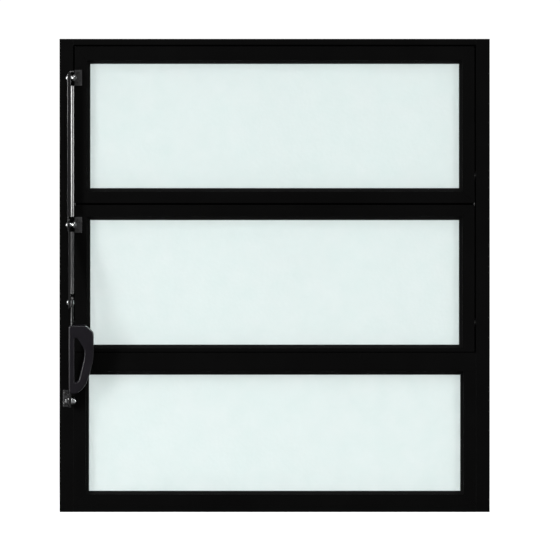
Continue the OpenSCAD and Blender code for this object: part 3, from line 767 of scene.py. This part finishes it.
@dataclass
class Fasteners:
    """Makes the screws, rivets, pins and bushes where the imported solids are. Sizes are in millimetres."""

    shop: Workshop
    shank_r: float = 2.5
    sleeve_r: float = 3.2
    tail_r: float = 3.4
    tail_t: float = 0.9
    rim_t: float = 0.35
    rod_room: float = 1.75
    bar_room: float = 3.2
    mouth_rim: float = 0.55
    flare_power: float = 2.2
    flare_steps: int = 8
    pin_r: float = 4.0
    pin_edge: float = 0.4
    collar_r: float = 7.0
    collar_t: float = 3.8
    bush_bore_r: float = 4.05
    bush_r: float = 5.95
    bush_edge: float = 0.3
    flange_r: float = 7.4

    def screws(self, node: str, finish: Finish, screw: CrossScrew,
               direction: Callable[[Island], Vector]) -> None:
        """Replaces a node of screws.

        Args:
            node: the node's name.
            finish: the screws' finish.
            screw: the kind of screw.
            direction: gives each screw's direction from its head into the work.
        """
        bm, recesses = bmesh.new(), bmesh.new()
        for island in islands(self.shop.nodes[node]):
            axis = direction(island)
            length = abs(island.size.dot(axis))
            top = island.middle - axis * (length / 2)
            screw.build(bm, recesses, top, axis, length / MM)
        self.shop.finish(cut(bm, recesses), node, finish)

    def rivet(self, node: str, head_r: float = 3.5, head_t: float = 2.2, sleeve: bool = False) -> None:
        """Replaces a rivet along X, with its set head on the left and its closed end on the right.

        Args:
            node: the node's name.
            head_r: radius of the set head, in millimetres.
            head_t: height of the set head.
            sleeve: whether a plain sleeve between rod and bar belongs to the rivet.
        """
        length = width_of(node)
        tail, shank = length - self.tail_t, self.shank_r
        outline = dome(head_t - self.rim_t, head_r) + [(head_t, head_r), (head_t, shank)]
        if sleeve:
            first, last, wide = head_t + self.rod_room, tail - self.bar_room, self.sleeve_r
            outline += [(first, shank), (first, wide - 0.2), (first + 0.15, wide), (last - 0.05, wide),
                        (last, wide - 0.1), (last, shank)]
        outline += [(tail, shank), (tail, self.tail_r - 0.1), (tail + 0.2, self.tail_r)]
        closed_end = dome(self.tail_t - self.rim_t, self.tail_r - 0.2, 4)
        outline += [(length - x, r) for x, r in reversed(closed_end)]
        bm = bmesh.new()
        revolve(bm, outline, axis_point(node), Axis.RIGHT.value)
        self.shop.finish(bm, node, Finishes.zinc)

    def trumpet(self, node: str, neck_r: float = 3.2, mouth_r: float = 5.4, bore_r: float = 2.55) -> None:
        """Replaces a spacer that flares like a trumpet towards the sash bracket.

        Args:
            node: the node's name.
            neck_r: radius beside the rod, in millimetres.
            mouth_r: radius beside the bracket.
            bore_r: radius of the bore.
        """
        length = width_of(node)
        flare = min(length - 0.8, 4.6)
        outline = [(0.15, bore_r), (0, bore_r + 0.15), (0, neck_r - 0.2), (0.2, neck_r)]
        for i in range(self.flare_steps + 1):
            share = i / self.flare_steps
            wider = (mouth_r - neck_r) * share ** self.flare_power
            outline.append((length - self.mouth_rim - flare * (1 - share), neck_r + wider))
        outline += [(length - 0.1, mouth_r), (length, mouth_r - 0.15)]
        outline += [(length, bore_r + 0.15), (length - 0.15, bore_r)]
        bm = bmesh.new()
        revolve(bm, outline, axis_point(node), Axis.RIGHT.value, ring=True)
        self.shop.finish(bm, node, Finishes.zinc)

    def turned(self, node: str, finish: Finish, outline: Callable[[float], Points]) -> None:
        """Replaces turned parts, each of which points at its own jamb.

        Args:
            node: the parts' node.
            finish: their finish.
            outline: gives the outline of a part for its length in millimetres.
        """
        bm = bmesh.new()
        for island in islands(self.shop.nodes[node]):
            axis = towards_jamb(island)
            start = island.middle - axis * (island.size.x / 2)
            revolve(bm, outline(island.size.x / MM), start, axis)
        self.shop.finish(bm, node, finish)

    def pin(self, end: float) -> Points:
        """Gives the outline of a pivot pin, whose collar lies inside the stile.

        Args:
            end: the pin's length, in millimetres.

        Returns:
            Points as (distance along the axis, radius).
        """
        r, collar, t, soft = self.pin_r, self.collar_r, self.collar_t, self.pin_edge
        return [
            (0, 0), (0, collar - soft), (soft, collar), (t - soft, collar), (t, collar - soft), (t, r),
            (end - 2 * soft, r), (end, r - 0.7), (end, 0),
        ]

    def bush(self, end: float) -> Points:
        """Gives the outline of a flanged bush, whose flange lies beside the sash.

        Args:
            end: the bush's length, in millimetres.

        Returns:
            Points as (distance along the axis, radius).
        """
        bore, body, flange, soft = self.bush_bore_r, self.bush_r, self.flange_r, self.bush_edge
        return [
            (end - 1, 0), (end - 1, bore), (soft, bore), (0, bore + soft), (0, flange - soft), (soft, flange),
            (0.9, flange), (1, flange - 0.1), (1, body), (end - 0.4, body), (end, body - 0.4), (end, 0),
        ]


# --- Seals and panes ---

def frame_loops(bm: Mesh, section: Points, x: float, z: tuple[float, float],
                y: float) -> None:
    """Runs a closed section round a rectangle, mitred at its four corners.

    Args:
        bm: the mesh that takes the ring.
        section: corners of the section as (distance outwards, distance towards the outside), in millimetres.
        x: half the rectangle's width, in metres.
        z: the rectangle's lower and upper edge.
        y: where the section's 0 lies in depth.
    """
    middle = sum(z) / 2

    def place(verts: list[Vert], out: float, deep: float) -> None:
        """Puts the four corners of a loop where the section's point is.

        Args:
            verts: the loop's corners.
            out: distance outside the opening, in millimetres.
            deep: depth from the front of the seal, in millimetres.
        """
        for vert in verts:
            vert.co = Vector((
                math.copysign(x + out * MM, vert.co.x),
                y + deep * MM,
                middle + math.copysign((z[1] - z[0]) / 2 + out * MM, vert.co.z - middle),
            ))

    start = [bm.verts.new((a * x, y, middle + b * x)) for a, b in ((-1, -1), (1, -1), (1, 1), (-1, 1))]
    place(start, *section[0])
    edges = [bm.edges.new((start[i - 1], start[i])) for i in range(4)]
    for point in section[1:] + section[:1]:
        grown = bmesh.ops.extrude_edge_only(bm, edges=edges)["geom"]
        place([v for v in grown if isinstance(v, Vert)], *point)
        edges = [e for e in grown if isinstance(e, Edge) and e.is_boundary]
    weld(bm, bm.verts)
    bmesh.ops.recalc_face_normals(bm, faces=list(bm.faces))


@dataclass
class Glazing:
    """A pane of obscure glass in its rubber channel. Sizes are in millimetres."""

    shop: Workshop
    lip: float = 4.5
    bed: float = 11.5
    glass_half: float = 2.0
    rubber_half: float = 4.0
    edge: float = 0.5
    wave: float = 0.12
    wave_step: float = 6.0

    def channel(self, node: str) -> None:
        """Replaces a rubber channel by one with soft wedge-shaped lips and a ribbed back.

        Args:
            node: the channel's node.
        """
        low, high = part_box(node)
        reach = (self.bed + 2) * MM
        g, r = self.glass_half, self.rubber_half
        room = [(0.1, -g), (0.0, -g - 0.35), (0.25, -g - 0.8), (0.9, -g - 1.3), (2.0, -g - 1.75),
                (3.4, -r + 0.06), (4.5, -r), (self.bed + 1.5, -r), (self.bed + 2, -r + 0.5)]
        back = [(self.bed + 2, -1.6), (self.bed + 1.6, -1.1), (self.bed + 1.6, 1.1), (self.bed + 2, 1.6)]
        outside = [(a, -b) for a, b in reversed(room)]
        bed = [(self.bed, g), (self.bed, -g)]
        bm = bmesh.new()
        frame_loops(bm, room + back + outside + bed, high.x - reach, (low.z + reach, high.z - reach),
                    (low.y + high.y) / 2)
        self.shop.finish(bm, node, Finishes.rubber, smooth=50)

    def pane(self, node: str) -> None:
        """Replaces a pane by one with arrised edges and gently wavy faces.

        Args:
            node: the pane's node.
        """
        low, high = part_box(node)
        middle, size = (low + high) / 2, high - low
        columns, rows = (max(2, round(s / (self.wave_step * MM))) for s in (size.x, size.z))
        bm = bmesh.new()
        bmesh.ops.create_grid(bm, x_segments=columns, y_segments=rows, size=0.5)
        bmesh.ops.transform(
            bm, verts=bm.verts,
            matrix=Matrix.Translation((middle.x, low.y, middle.z)) @ Matrix.Rotation(math.pi / 2, 4, "X")
            @ Matrix.Diagonal((size.x, size.z, 1, 1)),
        )
        push(bm, list(bm.faces), (0, size.y, 0))
        bmesh.ops.recalc_face_normals(bm, faces=list(bm.faces))
        rim = [e for e in bm.edges if len(e.link_faces) == 2 and e.calc_face_angle() > math.radians(60)]
        bevel(bm, rim, self.edge, 1, clamp=True)
        hold = 2 * self.lip * MM
        for vert in bm.verts:
            inside = min(vert.co.x - low.x, high.x - vert.co.x, vert.co.z - low.z, high.z - vert.co.z)
            share = min(1.0, max(0.0, (inside - self.bed * MM) / hold))
            swell = noise.noise(vert.co / (26 * MM)) + 0.5 * noise.noise(vert.co / (11 * MM))
            vert.co.y += share * self.wave * MM * (swell - 1 if vert.co.y > middle.y else swell + 1) / 2
        self.shop.finish(bm, node, Finishes.glass)


class Facing(Enum):
    """The side that a weather strip's soft bulb points to."""

    ROOM = -1
    OUTSIDE = 1


@dataclass
class Seals:
    """Weather strips with a soft bulb, and pile seals with tufts. Sizes are in millimetres."""

    shop: Workshop
    tuft: float = 1.5
    ragged: float = 0.04
    brush: float = 0.19
    strip: float = 1.2
    strip_edge: float = 0.2
    row_gap: float = 0.5
    tuft_r: tuple[float, float] = (0.34, 0.48)
    tuft_sides: int = 6
    tuft_squeeze: float = 1.7
    bulb_steps: int = 10

    def bulb(self, node: str, facing: Facing) -> None:
        """Replaces a weather strip by a flat foot with a round bulb on it.

        Args:
            node: the strip's node.
            facing: where the bulb points.
        """
        low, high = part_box(node)
        depth, height = high.y - low.y, high.z - low.z
        base = high.y if facing is Facing.ROOM else low.y
        foot, crown = 0.3 * depth, 0.7 * depth
        outline = [(0, 0), (0.94 * foot, 0), (foot, 0.04 * height), (foot, 0.12 * height)]
        for i in range(self.bulb_steps + 1):
            turn = math.pi * i / self.bulb_steps
            outline.append((foot + crown * math.sin(turn) ** 0.8, height * (0.5 - 0.36 * math.cos(turn))))
        outline += [(foot, 0.88 * height), (foot, 0.96 * height), (0.94 * foot, height), (0, height)]
        bm = bmesh.new()
        verts = [bm.verts.new((low.x, base + facing.value * a, low.z + b)) for a, b in outline]
        push(bm, [bm.faces.new(verts)], (high.x - low.x, 0, 0))
        weld(bm, bm.verts)
        bmesh.ops.recalc_face_normals(bm, faces=list(bm.faces))
        self.shop.finish(bm, node, Finishes.rubber)

    def pile(self, node: str) -> None:
        """Replaces a pile seal by a backing strip and two rows of upright tufts.

        Args:
            node: the seal's node.
        """
        low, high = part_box(node)
        out = 1 if low.x > 0 else -1
        root, tip = (high.x, low.x) if out > 0 else (low.x, high.x)
        mid_y = (low.y + high.y) / 2
        bm = bmesh.new()
        made = bmesh.ops.create_cube(bm, size=1)["verts"]
        strip = self.strip * MM
        bmesh.ops.transform(
            bm, verts=made,
            matrix=Matrix.Translation((root - out * strip / 2, mid_y, (low.z + high.z) / 2))
            @ Matrix.Diagonal((strip, high.y - low.y, high.z - low.z, 1)),
        )
        bevel(bm, list(bm.edges), self.strip_edge, 1)
        count = int((high.z - low.z) / (self.tuft * MM))
        step = (high.z - low.z) / count
        for row in (-1, 1):
            for i in range(count):
                place = Vector((root, mid_y + row * self.row_gap * MM, low.z + (i + 0.5 + 0.25 * row) * step))
                lean = noise.noise(place / (0.9 * MM))
                length = abs(tip - root) + (self.brush - self.ragged * (0.5 + 0.5 * lean)) * MM
                tuft = bmesh.ops.create_cone(
                    bm, cap_ends=True, segments=self.tuft_sides, radius1=self.tuft_r[0] * MM,
                    radius2=self.tuft_r[1] * MM, depth=length,
                )["verts"]
                bmesh.ops.transform(
                    bm, verts=tuft,
                    matrix=Matrix.Translation(place - Vector((out * length / 2, 0, 0)))
                    @ Matrix.Rotation(-out * math.pi / 2, 4, "Y")
                    @ Matrix.Scale(self.tuft_squeeze, 4, (1, 0, 0)),
                )
        self.shop.finish(bm, node, Finishes.pile, keep_in=False)


# --- Sub-assemblies ---

@dataclass
class OuterFrame:
    """Jambs, head, sill and transom with their screws, seals and pivot bushes."""

    shop: Workshop
    edge: float = 0.35
    rails: tuple[str, ...] = ("left_jamb", "right_jamb", "head_rail", "sill_rail", "transom_rail")
    joint_screw: CrossScrew = CrossScrew(3.4, 2.4, countersunk=False)

    def build(self) -> None:
        """Dresses the extrusions and makes the small parts."""
        for rail in self.rails:
            self.shop.dress(rail, Finishes.powder, self.edge)
        fasteners = Fasteners(self.shop)
        fasteners.screws("frame_screws", Finishes.zinc, self.joint_screw, head_outward)
        for side in ("left", "right"):
            fasteners.turned(f"{side}_pivot_bushes", Finishes.bush_nylon, fasteners.bush)
        seals = Seals(self.shop)
        for side in ("left", "right"):
            seals.pile(f"{side}_pile_seal")
        seals.bulb("head_weatherstrip", Facing.ROOM)
        seals.bulb("transom_weatherstrip", Facing.OUTSIDE)


@dataclass
class FixedPane:
    """The fixed pane under the transom with its glazing channels."""

    shop: Workshop
    edge: float = 0.35
    channels: tuple[str, ...] = ("fixed_left_channel", "fixed_right_channel", "fixed_bottom_channel")
    screw: CrossScrew = CrossScrew(3.2, 1.7)

    def build(self) -> None:
        """Dresses the channels and makes glass, rubber and screws."""
        for channel in self.channels:
            self.shop.dress(channel, Finishes.powder, self.edge)
        Fasteners(self.shop).screws("channel_screws", Finishes.zinc, self.screw, head_inward)
        glazing = Glazing(self.shop)
        glazing.pane("fixed_glass")
        glazing.channel("fixed_glass_gasket")


@dataclass
class Sash:
    """One tilting sash with its glass, corner keys, pivot pins and bracket."""

    shop: Workshop
    name: str
    rivet: str
    spacer: str
    edge: float = 0.4
    bracket_edge: float = 0.35
    bend: float = 1.6
    members: tuple[str, ...] = ("top_rail", "bottom_rail", "left_stile", "right_stile")
    bracket_screw: CrossScrew = CrossScrew(3.0, 1.7)

    def build(self) -> None:
        """Dresses the extrusions and makes everything that the sash carries."""
        for member in self.members:
            self.shop.dress(f"{self.name}_sash_{member}", Finishes.powder, self.edge)
        self.shop.dress(f"{self.name}_sash_corner_keys", Finishes.mill, 0.25, 1)
        glazing = Glazing(self.shop)
        glazing.pane(f"{self.name}_glass")
        glazing.channel(f"{self.name}_glass_gasket")
        fasteners = Fasteners(self.shop)
        fasteners.turned(f"{self.name}_pivot_pins", Finishes.oxide, fasteners.pin)
        fasteners.screws(f"{self.name}_bracket_screws", Finishes.oxide, self.bracket_screw, drive_outside)
        fasteners.rivet(self.rivet)
        fasteners.trumpet(self.spacer)
        self.bracket(f"{self.name}_sash_bracket")

    def bracket(self, node: str) -> None:
        """Dresses the bracket and rounds its bend, as a press brake leaves it.

        Args:
            node: the bracket's node.
        """
        bm = merged_copy(self.shop.nodes[node])
        low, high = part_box(node)
        round_corner(bm, low.x, high.y, self.bend)
        break_edges(bm, self.bracket_edge, 4, HOLE_FACET)
        self.shop.finish(bm, node, Finishes.bracket_coat)


def round_corner(bm: Mesh, x: float, y: float, width_mm: float) -> None:
    """Rounds the upright edge of a bent plate that lies at a corner in plan.

    Args:
        bm: the mesh.
        x: where the edge lies across the window, in metres.
        y: where it lies in depth.
        width_mm: how far the rounding reaches into each face.
    """
    bend = [
        e for e in bm.edges
        if all(abs(v.co.x - x) < 0.02 * MM and abs(v.co.y - y) < 0.02 * MM for v in e.verts)
    ]
    bevel(bm, bend, width_mm, BEND_STEPS)


@dataclass
class Linkage:
    """The two pressed link rods, each a channel with a pressed rib on its room side."""

    shop: Workshop
    edge: float = 0.4
    fold: float = 1.3
    lip_w: float = 1.3
    lip_slope: float = 28.0
    rib_h: float = 0.8
    rib_w: float = 3.0
    rib_inset: float = 3.6
    rib_shift: float = 0.75
    crest: float = 0.12

    def build(self) -> None:
        """Dresses both rods."""
        self.rod("upper_link_rod", "middle_link_rivet", "upper_link_rivet")
        self.rod("lower_link_rod", "middle_link_rivet", "lever_link_rivet")

    def rod(self, node: str, first: str, second: str) -> None:
        """Dresses a rod and gives its rib two flat flanks that meet in a soft crest.

        Args:
            node: the rod's node.
            first: a rivet of the rod.
            second: its other rivet.
        """
        ends = [(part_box(name)[0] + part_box(name)[1]) / 2 for name in (first, second)]
        ends.sort(key=lambda end: end.z)
        run = ends[1] - ends[0]
        upright = Matrix.Rotation(math.atan2(run.y, run.z), 4, "X") @ Matrix.Translation(-ends[0])
        bm = merged_copy(self.shop.nodes[node])
        bmesh.ops.transform(bm, verts=bm.verts, matrix=upright)
        front = min(v.co.y for v in bm.verts) + self.rib_h * MM
        middle = max(v.co.x for v in bm.verts) - self.rib_inset * MM
        sides = (min(v.co.x for v in bm.verts), max(v.co.x for v in bm.verts))
        for vert in bm.verts:
            if vert.co.y < front - 0.01 * MM:
                away = math.hypot(vert.co.x - middle, self.crest * MM) / (self.rib_w / 2 * MM)
                vert.co.y = front - self.rib_h * MM * max(0.0, 1.06 - away)
                vert.co.x += self.rib_shift * MM
        for side in sides:
            round_corner(bm, side, front, self.fold)
        self.lip(bm, sides[1], front)
        break_edges(bm, self.edge, 3)
        bmesh.ops.transform(bm, verts=bm.verts, matrix=upright.inverted())
        self.shop.finish(bm, node, Finishes.enamel)


    def lip(self, bm: Mesh, side: float, front: float) -> None:
        """Lays the rod's right fold back as a flat slope, as the roll leaves it.

        Args:
            bm: the rod, upright.
            side: where its right side lies across the window, in metres.
            front: where its front face lies in depth.
        """
        start = side - self.lip_w * MM
        drop = math.tan(math.radians(self.lip_slope))
        for vert in bm.verts:
            slope = front + (vert.co.x - start) * drop
            if start < vert.co.x and front - 0.01 * MM < vert.co.y < slope:
                vert.co.y = slope


@dataclass
class Lever:
    """The operating lever: bracket, bolt, bar and grip. Sizes are in millimetres."""

    shop: Workshop
    bend: float = 1.6
    bracket_edge: float = 0.6
    bar_edge: float = 1.15
    bolt_r: float = 3.0
    bolt_corner: float = 4.6
    bolt_head: float = 2.4
    nut_corner: float = 5.2
    chamfer: float = 0.84
    bore_gap: float = 0.05
    bar_w: float = 11.0
    bar_t: float = 3.2
    jog: float = 3.2
    jog_u: float = 101.0
    grip_u: float = 11.0
    grip_h: float = 96.0
    grip_d: float = 16.0
    reach: float = 34.8
    spine: float = 8.2
    arm: float = 13.2
    soft: float = 2.1
    soft_steps: int = 5
    corner: float = 4.0
    slot_gap: float = 0.1
    plate_screw: CrossScrew = CrossScrew(2.6, 1.6, countersunk=False, recess_w=0.7)
    grip_screw: CrossScrew = CrossScrew(3.0, 1.7)

    def build(self) -> None:
        """Makes every part of the lever."""
        self.bracket()
        self.bolt()
        self.nut()
        self.washers()
        self.bar()
        self.grip()
        fasteners = Fasteners(self.shop)
        fasteners.screws("lever_bracket_screws", Finishes.oxide, self.plate_screw, drive_outside)
        fasteners.screws("grip_screws", Finishes.zinc, self.grip_screw, drive_right)
        fasteners.rivet("lever_link_rivet", sleeve=True)

    def bracket(self) -> None:
        """Dresses the lever bracket and rounds its bend."""
        bm = merged_copy(self.shop.nodes["lever_bracket"])
        low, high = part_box("lever_bracket")
        round_corner(bm, high.x, high.y, self.bend)
        break_edges(bm, self.bracket_edge, 4, HOLE_FACET)
        self.shop.finish(bm, "lever_bracket", Finishes.bracket_coat)

    def bar(self) -> None:
        """Dresses the flat bar with the round edges that rolling leaves."""
        bm = merged_copy(self.shop.nodes["lever_bar"])
        break_edges(bm, self.bar_edge, 4, HOLE_FACET)
        self.shop.finish(bm, "lever_bar", Finishes.enamel)

    def bolt(self) -> None:
        """Makes the hexagon bolt with its chamfered head and threaded end."""
        start, length = axis_point("lever_pivot_bolt"), width_of("lever_pivot_bolt")
        corner, flat = self.bolt_corner, self.bolt_corner * self.chamfer
        outline = [(0, 0), (0, flat * 0.95), (0.2, corner * 0.9), (0.45, corner), (self.bolt_head, corner),
                   (self.bolt_head, self.bolt_r)]
        outline += thread(length - 7.0, length - 0.8, self.bolt_r, 0.9, 0.3)
        outline += [(length, self.bolt_r - 0.8), (length, 0)]
        bm = bmesh.new()
        flats(revolve(bm, outline, start, Axis.RIGHT.value, HEX_STEPS), start, corner)
        self.shop.finish(bm, "lever_pivot_bolt", Finishes.zinc)

    def nut(self) -> None:
        """Makes the hexagon nut, chamfered on both faces."""
        start, t = axis_point("lever_pivot_nut"), width_of("lever_pivot_nut")
        corner, bore = self.nut_corner, self.bolt_r + self.bore_gap
        flat = corner * self.chamfer
        half = [(0.4, bore), (0, bore + 0.4), (0, flat), (0.25, corner * 0.93), (0.5, corner)]
        outline = half + [(t - a, r) for a, r in reversed(half)]
        bm = bmesh.new()
        flats(revolve(bm, outline, start, Axis.RIGHT.value, HEX_STEPS, ring=True), start, corner)
        self.shop.finish(bm, "lever_pivot_nut", Finishes.zinc)

    def washers(self) -> None:
        """Makes the washers with one rolled edge each."""
        bm = bmesh.new()
        for island in islands(self.shop.nodes["lever_pivot_washers"]):
            t, rim, bore = island.size.x / MM, island.size.z / 2 / MM, self.bolt_r + self.bore_gap
            start = Vector((island.low.x, island.middle.y, island.middle.z))
            soft = min(0.15, t / 3)
            outline = [(0, bore), (0, rim - soft), (soft, rim), (t - soft / 2, rim), (t, rim - soft / 2),
                       (t, bore)]
            revolve(bm, outline, start, Axis.RIGHT.value, ring=True)
        self.shop.finish(bm, "lever_pivot_washers", Finishes.zinc)

    def outline(self, x: float) -> Points:
        """Gives the grip's outer outline, seen from the room.

        Args:
            x: the grip's left edge.

        Returns:
            Points as (across the window, along the lever), in millimetres.
        """
        top, r = self.grip_u + self.grip_h, self.reach
        return [
            (x, self.grip_u), (x, top), (x + 0.66 * r, top), (x + 0.97 * r, top - 10), (x + r, top - 13),
            (x + r, top - 46), (x + 0.88 * r, top - 64), (x + 0.74 * r, top - 79), (x + 0.58 * r, top - 89),
            (x + 0.32 * r, self.grip_u),
        ]

    def hole(self, x: float) -> Points:
        """Gives the finger hole's outline, seen from the room.

        Args:
            x: the grip's left edge.

        Returns:
            Points as (across the window, along the lever), in millimetres.
        """
        top, left = self.grip_u + self.grip_h, x + self.spine
        r = self.reach - self.spine - self.arm
        return [
            (left, self.grip_u + 15), (left, top - 18), (left + 0.25 * r, top - 17.5),
            (left + 0.68 * r, top - 26), (left + r, top - 34), (left + r, top - 44),
            (left + 0.78 * r, top - 57), (left + 0.4 * r, self.grip_u + 18),
        ]

    def grip(self) -> None:
        """Moulds the grip with soft edges round its outside and its finger hole, and seats it on the bar."""
        bar_low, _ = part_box("lever_bar")
        x0 = bar_low.x / MM
        lean = Matrix.Rotation(self.lean(), 4, "X")
        pivot = axis_point("lever_pivot_bolt", 0)
        bm = bmesh.new()
        outer = soft_loop(bm, self.outline(x0), self.corner, self.soft_steps)
        inner = soft_loop(bm, self.hole(x0), self.corner, self.soft_steps)
        bmesh.ops.triangle_fill(bm, use_beauty=True, use_dissolve=True, edges=outer + inner)
        push(bm, list(bm.faces), (0, self.grip_d * MM, 0))
        bmesh.ops.recalc_face_normals(bm, faces=list(bm.faces))
        rims = [e for e in bm.edges if len(e.link_faces) == 2 and e.calc_face_angle() > math.radians(60)
                and abs(e.verts[0].co.y - e.verts[1].co.y) < 0.01 * MM]
        bevel(bm, rims, self.soft, self.soft_steps)
        bmesh.ops.translate(bm, verts=bm.verts, vec=(0, -self.grip_d / 2 * MM, 0))
        bm = cut(bm, self.slot(x0))
        bmesh.ops.transform(bm, verts=bm.verts, matrix=Matrix.Translation(pivot) @ lean)
        self.shop.finish(bm, "lever_grip", Finishes.grip_nylon, smooth=35)

    def slot(self, x0: float) -> Mesh:
        """Gives the shape of the bar, a little larger, in the lever's own place.

        Args:
            x0: the bar's left face, in millimetres.

        Returns:
            The mesh to cut away.
        """
        gap, slope = self.slot_gap, self.jog * 2
        end = self.grip_u + self.grip_h + 20
        corners = [
            (x0 - 5, -5), (x0 - 5, self.jog_u + slope), (x0 + self.jog - gap, self.jog_u + slope),
            (x0 + self.jog - gap, end), (x0 + self.bar_t + self.jog + gap, end),
            (x0 + self.bar_t + self.jog + gap, self.jog_u + slope), (x0 + self.bar_t + gap, self.jog_u),
            (x0 + self.bar_t + gap, -5),
        ]
        half = (self.bar_w / 2 + gap) * MM
        bm = bmesh.new()
        face = bm.faces.new([bm.verts.new((a * MM, -half, u * MM)) for a, u in corners])
        push(bm, [face], (0, 2 * half, 0))
        bmesh.ops.recalc_face_normals(bm, faces=list(bm.faces))
        return bm

    def lean(self) -> float:
        """Gives the lever's lean from upright, in radians, from its pivot to its link rivet."""
        rise = axis_point("lever_link_rivet", 0) - axis_point("lever_pivot_bolt", 0)
        return math.atan2(-rise.y, rise.z)


def soft_loop(bm: Mesh, corners: Points, radius_mm: float,
              steps: int) -> list[Edge]:
    """Lays a closed line in the plane of the window with each corner rounded.

    Args:
        bm: the mesh that takes the line.
        corners: points as (across the window, up), in millimetres.
        radius_mm: how far from a corner its rounding starts, where there is room.
        steps: stretches of each rounding.

    Returns:
        The edges of the line.
    """
    points = [Vector(c) for c in corners]
    verts = []
    for i, corner in enumerate(points):
        before, after = points[i - 1], points[(i + 1) % len(points)]
        reach = min(radius_mm, 0.48 * (before - corner).length, 0.48 * (after - corner).length)
        start = corner + (before - corner).normalized() * reach
        end = corner + (after - corner).normalized() * reach
        for j in range(steps + 1):
            t = j / steps
            place = start * (1 - t) ** 2 + corner * 2 * t * (1 - t) + end * t ** 2
            verts.append(bm.verts.new((place.x * MM, 0, place.y * MM)))
    return [bm.edges.new((verts[i - 1], verts[i])) for i in range(len(verts))]


# --- Studio ---

@dataclass(frozen=True)
class Softbox:
    """A rectangular soft light: where it hangs, its width and height in metres, and its watts."""

    name: str
    place: tuple[float, float, float]
    size: tuple[float, float]
    watts: float


@dataclass
class Studio:
    """Pale floor in a white room, soft lights and camera. Sizes are in metres."""

    floor_r: float = 45.0
    white: float = 1.05
    through_glass: float = 0.86
    reflected: float = 0.24
    camera_distance: float = 20.0
    view_width: float = 0.781
    view_x: float = 0.0075
    view_z: float = 0.3237
    sensor: float = 36.0
    lens_y: float = -0.025
    lamps: tuple[Softbox, ...] = (
        Softbox("left_light", (-2.15, -1.5, 0.68), (0.42, 0.52), 29),
        Softbox("left_high_light", (-2.15, -1.5, 1.35), (0.42, 0.7), 8),
        Softbox("right_light", (2.15, -1.5, 0.72), (0.42, 0.8), 24),
        Softbox("left_low_light", (-1.1, -0.75, 0.12), (0.25, 0.2), 4.5),
        Softbox("right_low_light", (1.1, -0.75, 0.12), (0.25, 0.2), 2.5),
        Softbox("left_back_light", (-2.2, 0.8, 0.55), (0.8, 0.9), 14),
        Softbox("right_back_light", (2.2, 0.8, 0.55), (0.8, 0.9), 8),
        Softbox("ceiling_light", (0.0, -1.5, 2.5), (1.2, 0.5), 22),
    )

    def build(self) -> None:
        """Sets up everything round the object."""
        self.floor()
        self.room()
        for lamp in self.lamps:
            self.hang(lamp)
        self.camera()
        bpy.context.scene.view_settings.view_transform = "Standard"

    def floor(self) -> None:
        """Lays the round white floor."""
        bm = bmesh.new()
        bmesh.ops.create_circle(bm, cap_ends=True, segments=64, radius=self.floor_r)
        mesh = bpy.data.meshes.new("studio_floor")
        bm.to_mesh(mesh)
        bm.free()
        paint = bpy.data.materials.new("matt_white_floor_paint")
        paint.use_nodes = True
        shader = paint.node_tree.nodes["Principled BSDF"]
        shader.inputs["Base Color"].default_value = linear("EDEDED")
        shader.inputs["Roughness"].default_value = 0.9
        shader.inputs["Emission Color"].default_value = (1, 1, 1, 1)
        shader.inputs["Emission Strength"].default_value = 0.9
        mesh.materials.append(paint)
        sheet = bpy.data.objects.new("studio_floor", mesh)
        bpy.context.scene.collection.objects.link(sheet)
        sheet.visible_glossy = False
        sheet.visible_diffuse = False

    def room(self) -> None:
        """Makes the room white to look at and through the glass, and dim in what the frame reflects."""
        world = bpy.data.worlds.new("studio_room")
        bpy.context.scene.world = world
        world.use_nodes = True
        tree = world.node_tree
        ray = add_node(tree, "ShaderNodeLightPath").outputs
        seen = add_node(tree, "ShaderNodeMath", {"operation": "MULTIPLY_ADD"},
                        {0: ray["Is Camera Ray"], 1: self.white - self.reflected, 2: self.reflected})
        strength = add_node(tree, "ShaderNodeMath", {"operation": "MULTIPLY_ADD"},
                            {0: ray["Is Transmission Ray"], 1: self.through_glass - self.reflected,
                             2: seen.outputs["Value"]})
        background = tree.nodes["Background"]
        background.inputs["Color"].default_value = (1, 1, 1, 1)
        tree.links.new(strength.outputs["Value"], background.inputs["Strength"])

    def hang(self, box: Softbox) -> None:
        """Hangs a soft light that faces the middle of the window.

        Args:
            box: the light.
        """
        lamp = bpy.data.lights.new(box.name, "AREA")
        lamp.shape = "RECTANGLE"
        lamp.size, lamp.size_y = box.size
        lamp.energy = box.watts
        held = bpy.data.objects.new(box.name, lamp)
        bpy.context.scene.collection.objects.link(held)
        held.location = box.place
        aim = Vector((0, 0, self.view_z)) - Vector(box.place)
        held.rotation_euler = aim.to_track_quat("-Z", "Y").to_euler()

    def camera(self) -> None:
        """Sets the long lens that looks straight at the room side."""
        lens = bpy.data.cameras.new("room_side_camera")
        lens.sensor_width = self.sensor
        lens.lens = self.sensor * self.camera_distance / self.view_width
        lens.clip_end = 60.0
        held = bpy.data.objects.new("room_side_camera", lens)
        bpy.context.scene.collection.objects.link(held)
        held.location = (self.view_x, self.lens_y - self.camera_distance, self.view_z)
        held.rotation_euler = (math.pi / 2, 0, 0)
        bpy.context.scene.camera = held


def main() -> None:
    """Builds the window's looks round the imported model."""
    logging.basicConfig(level=logging.INFO, format="%(name)s: %(message)s")
    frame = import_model()
    body_of = {node: body for body, nodes in frame["record"]["behaviour"]["bodies"].items() for node in nodes}
    shop = Workshop(frame["nodes"], body_of)
    OuterFrame(shop).build()
    FixedPane(shop).build()
    Sash(shop, "upper", "upper_link_rivet", "upper_link_spacer").build()
    Seals(shop).bulb("interlock_seal", Facing.ROOM)
    Sash(shop, "lower", "middle_link_rivet", "middle_link_spacer").build()
    Linkage(shop).build()
    Lever(shop).build()
    Studio().build()


if __name__ == "__main__":
    main()
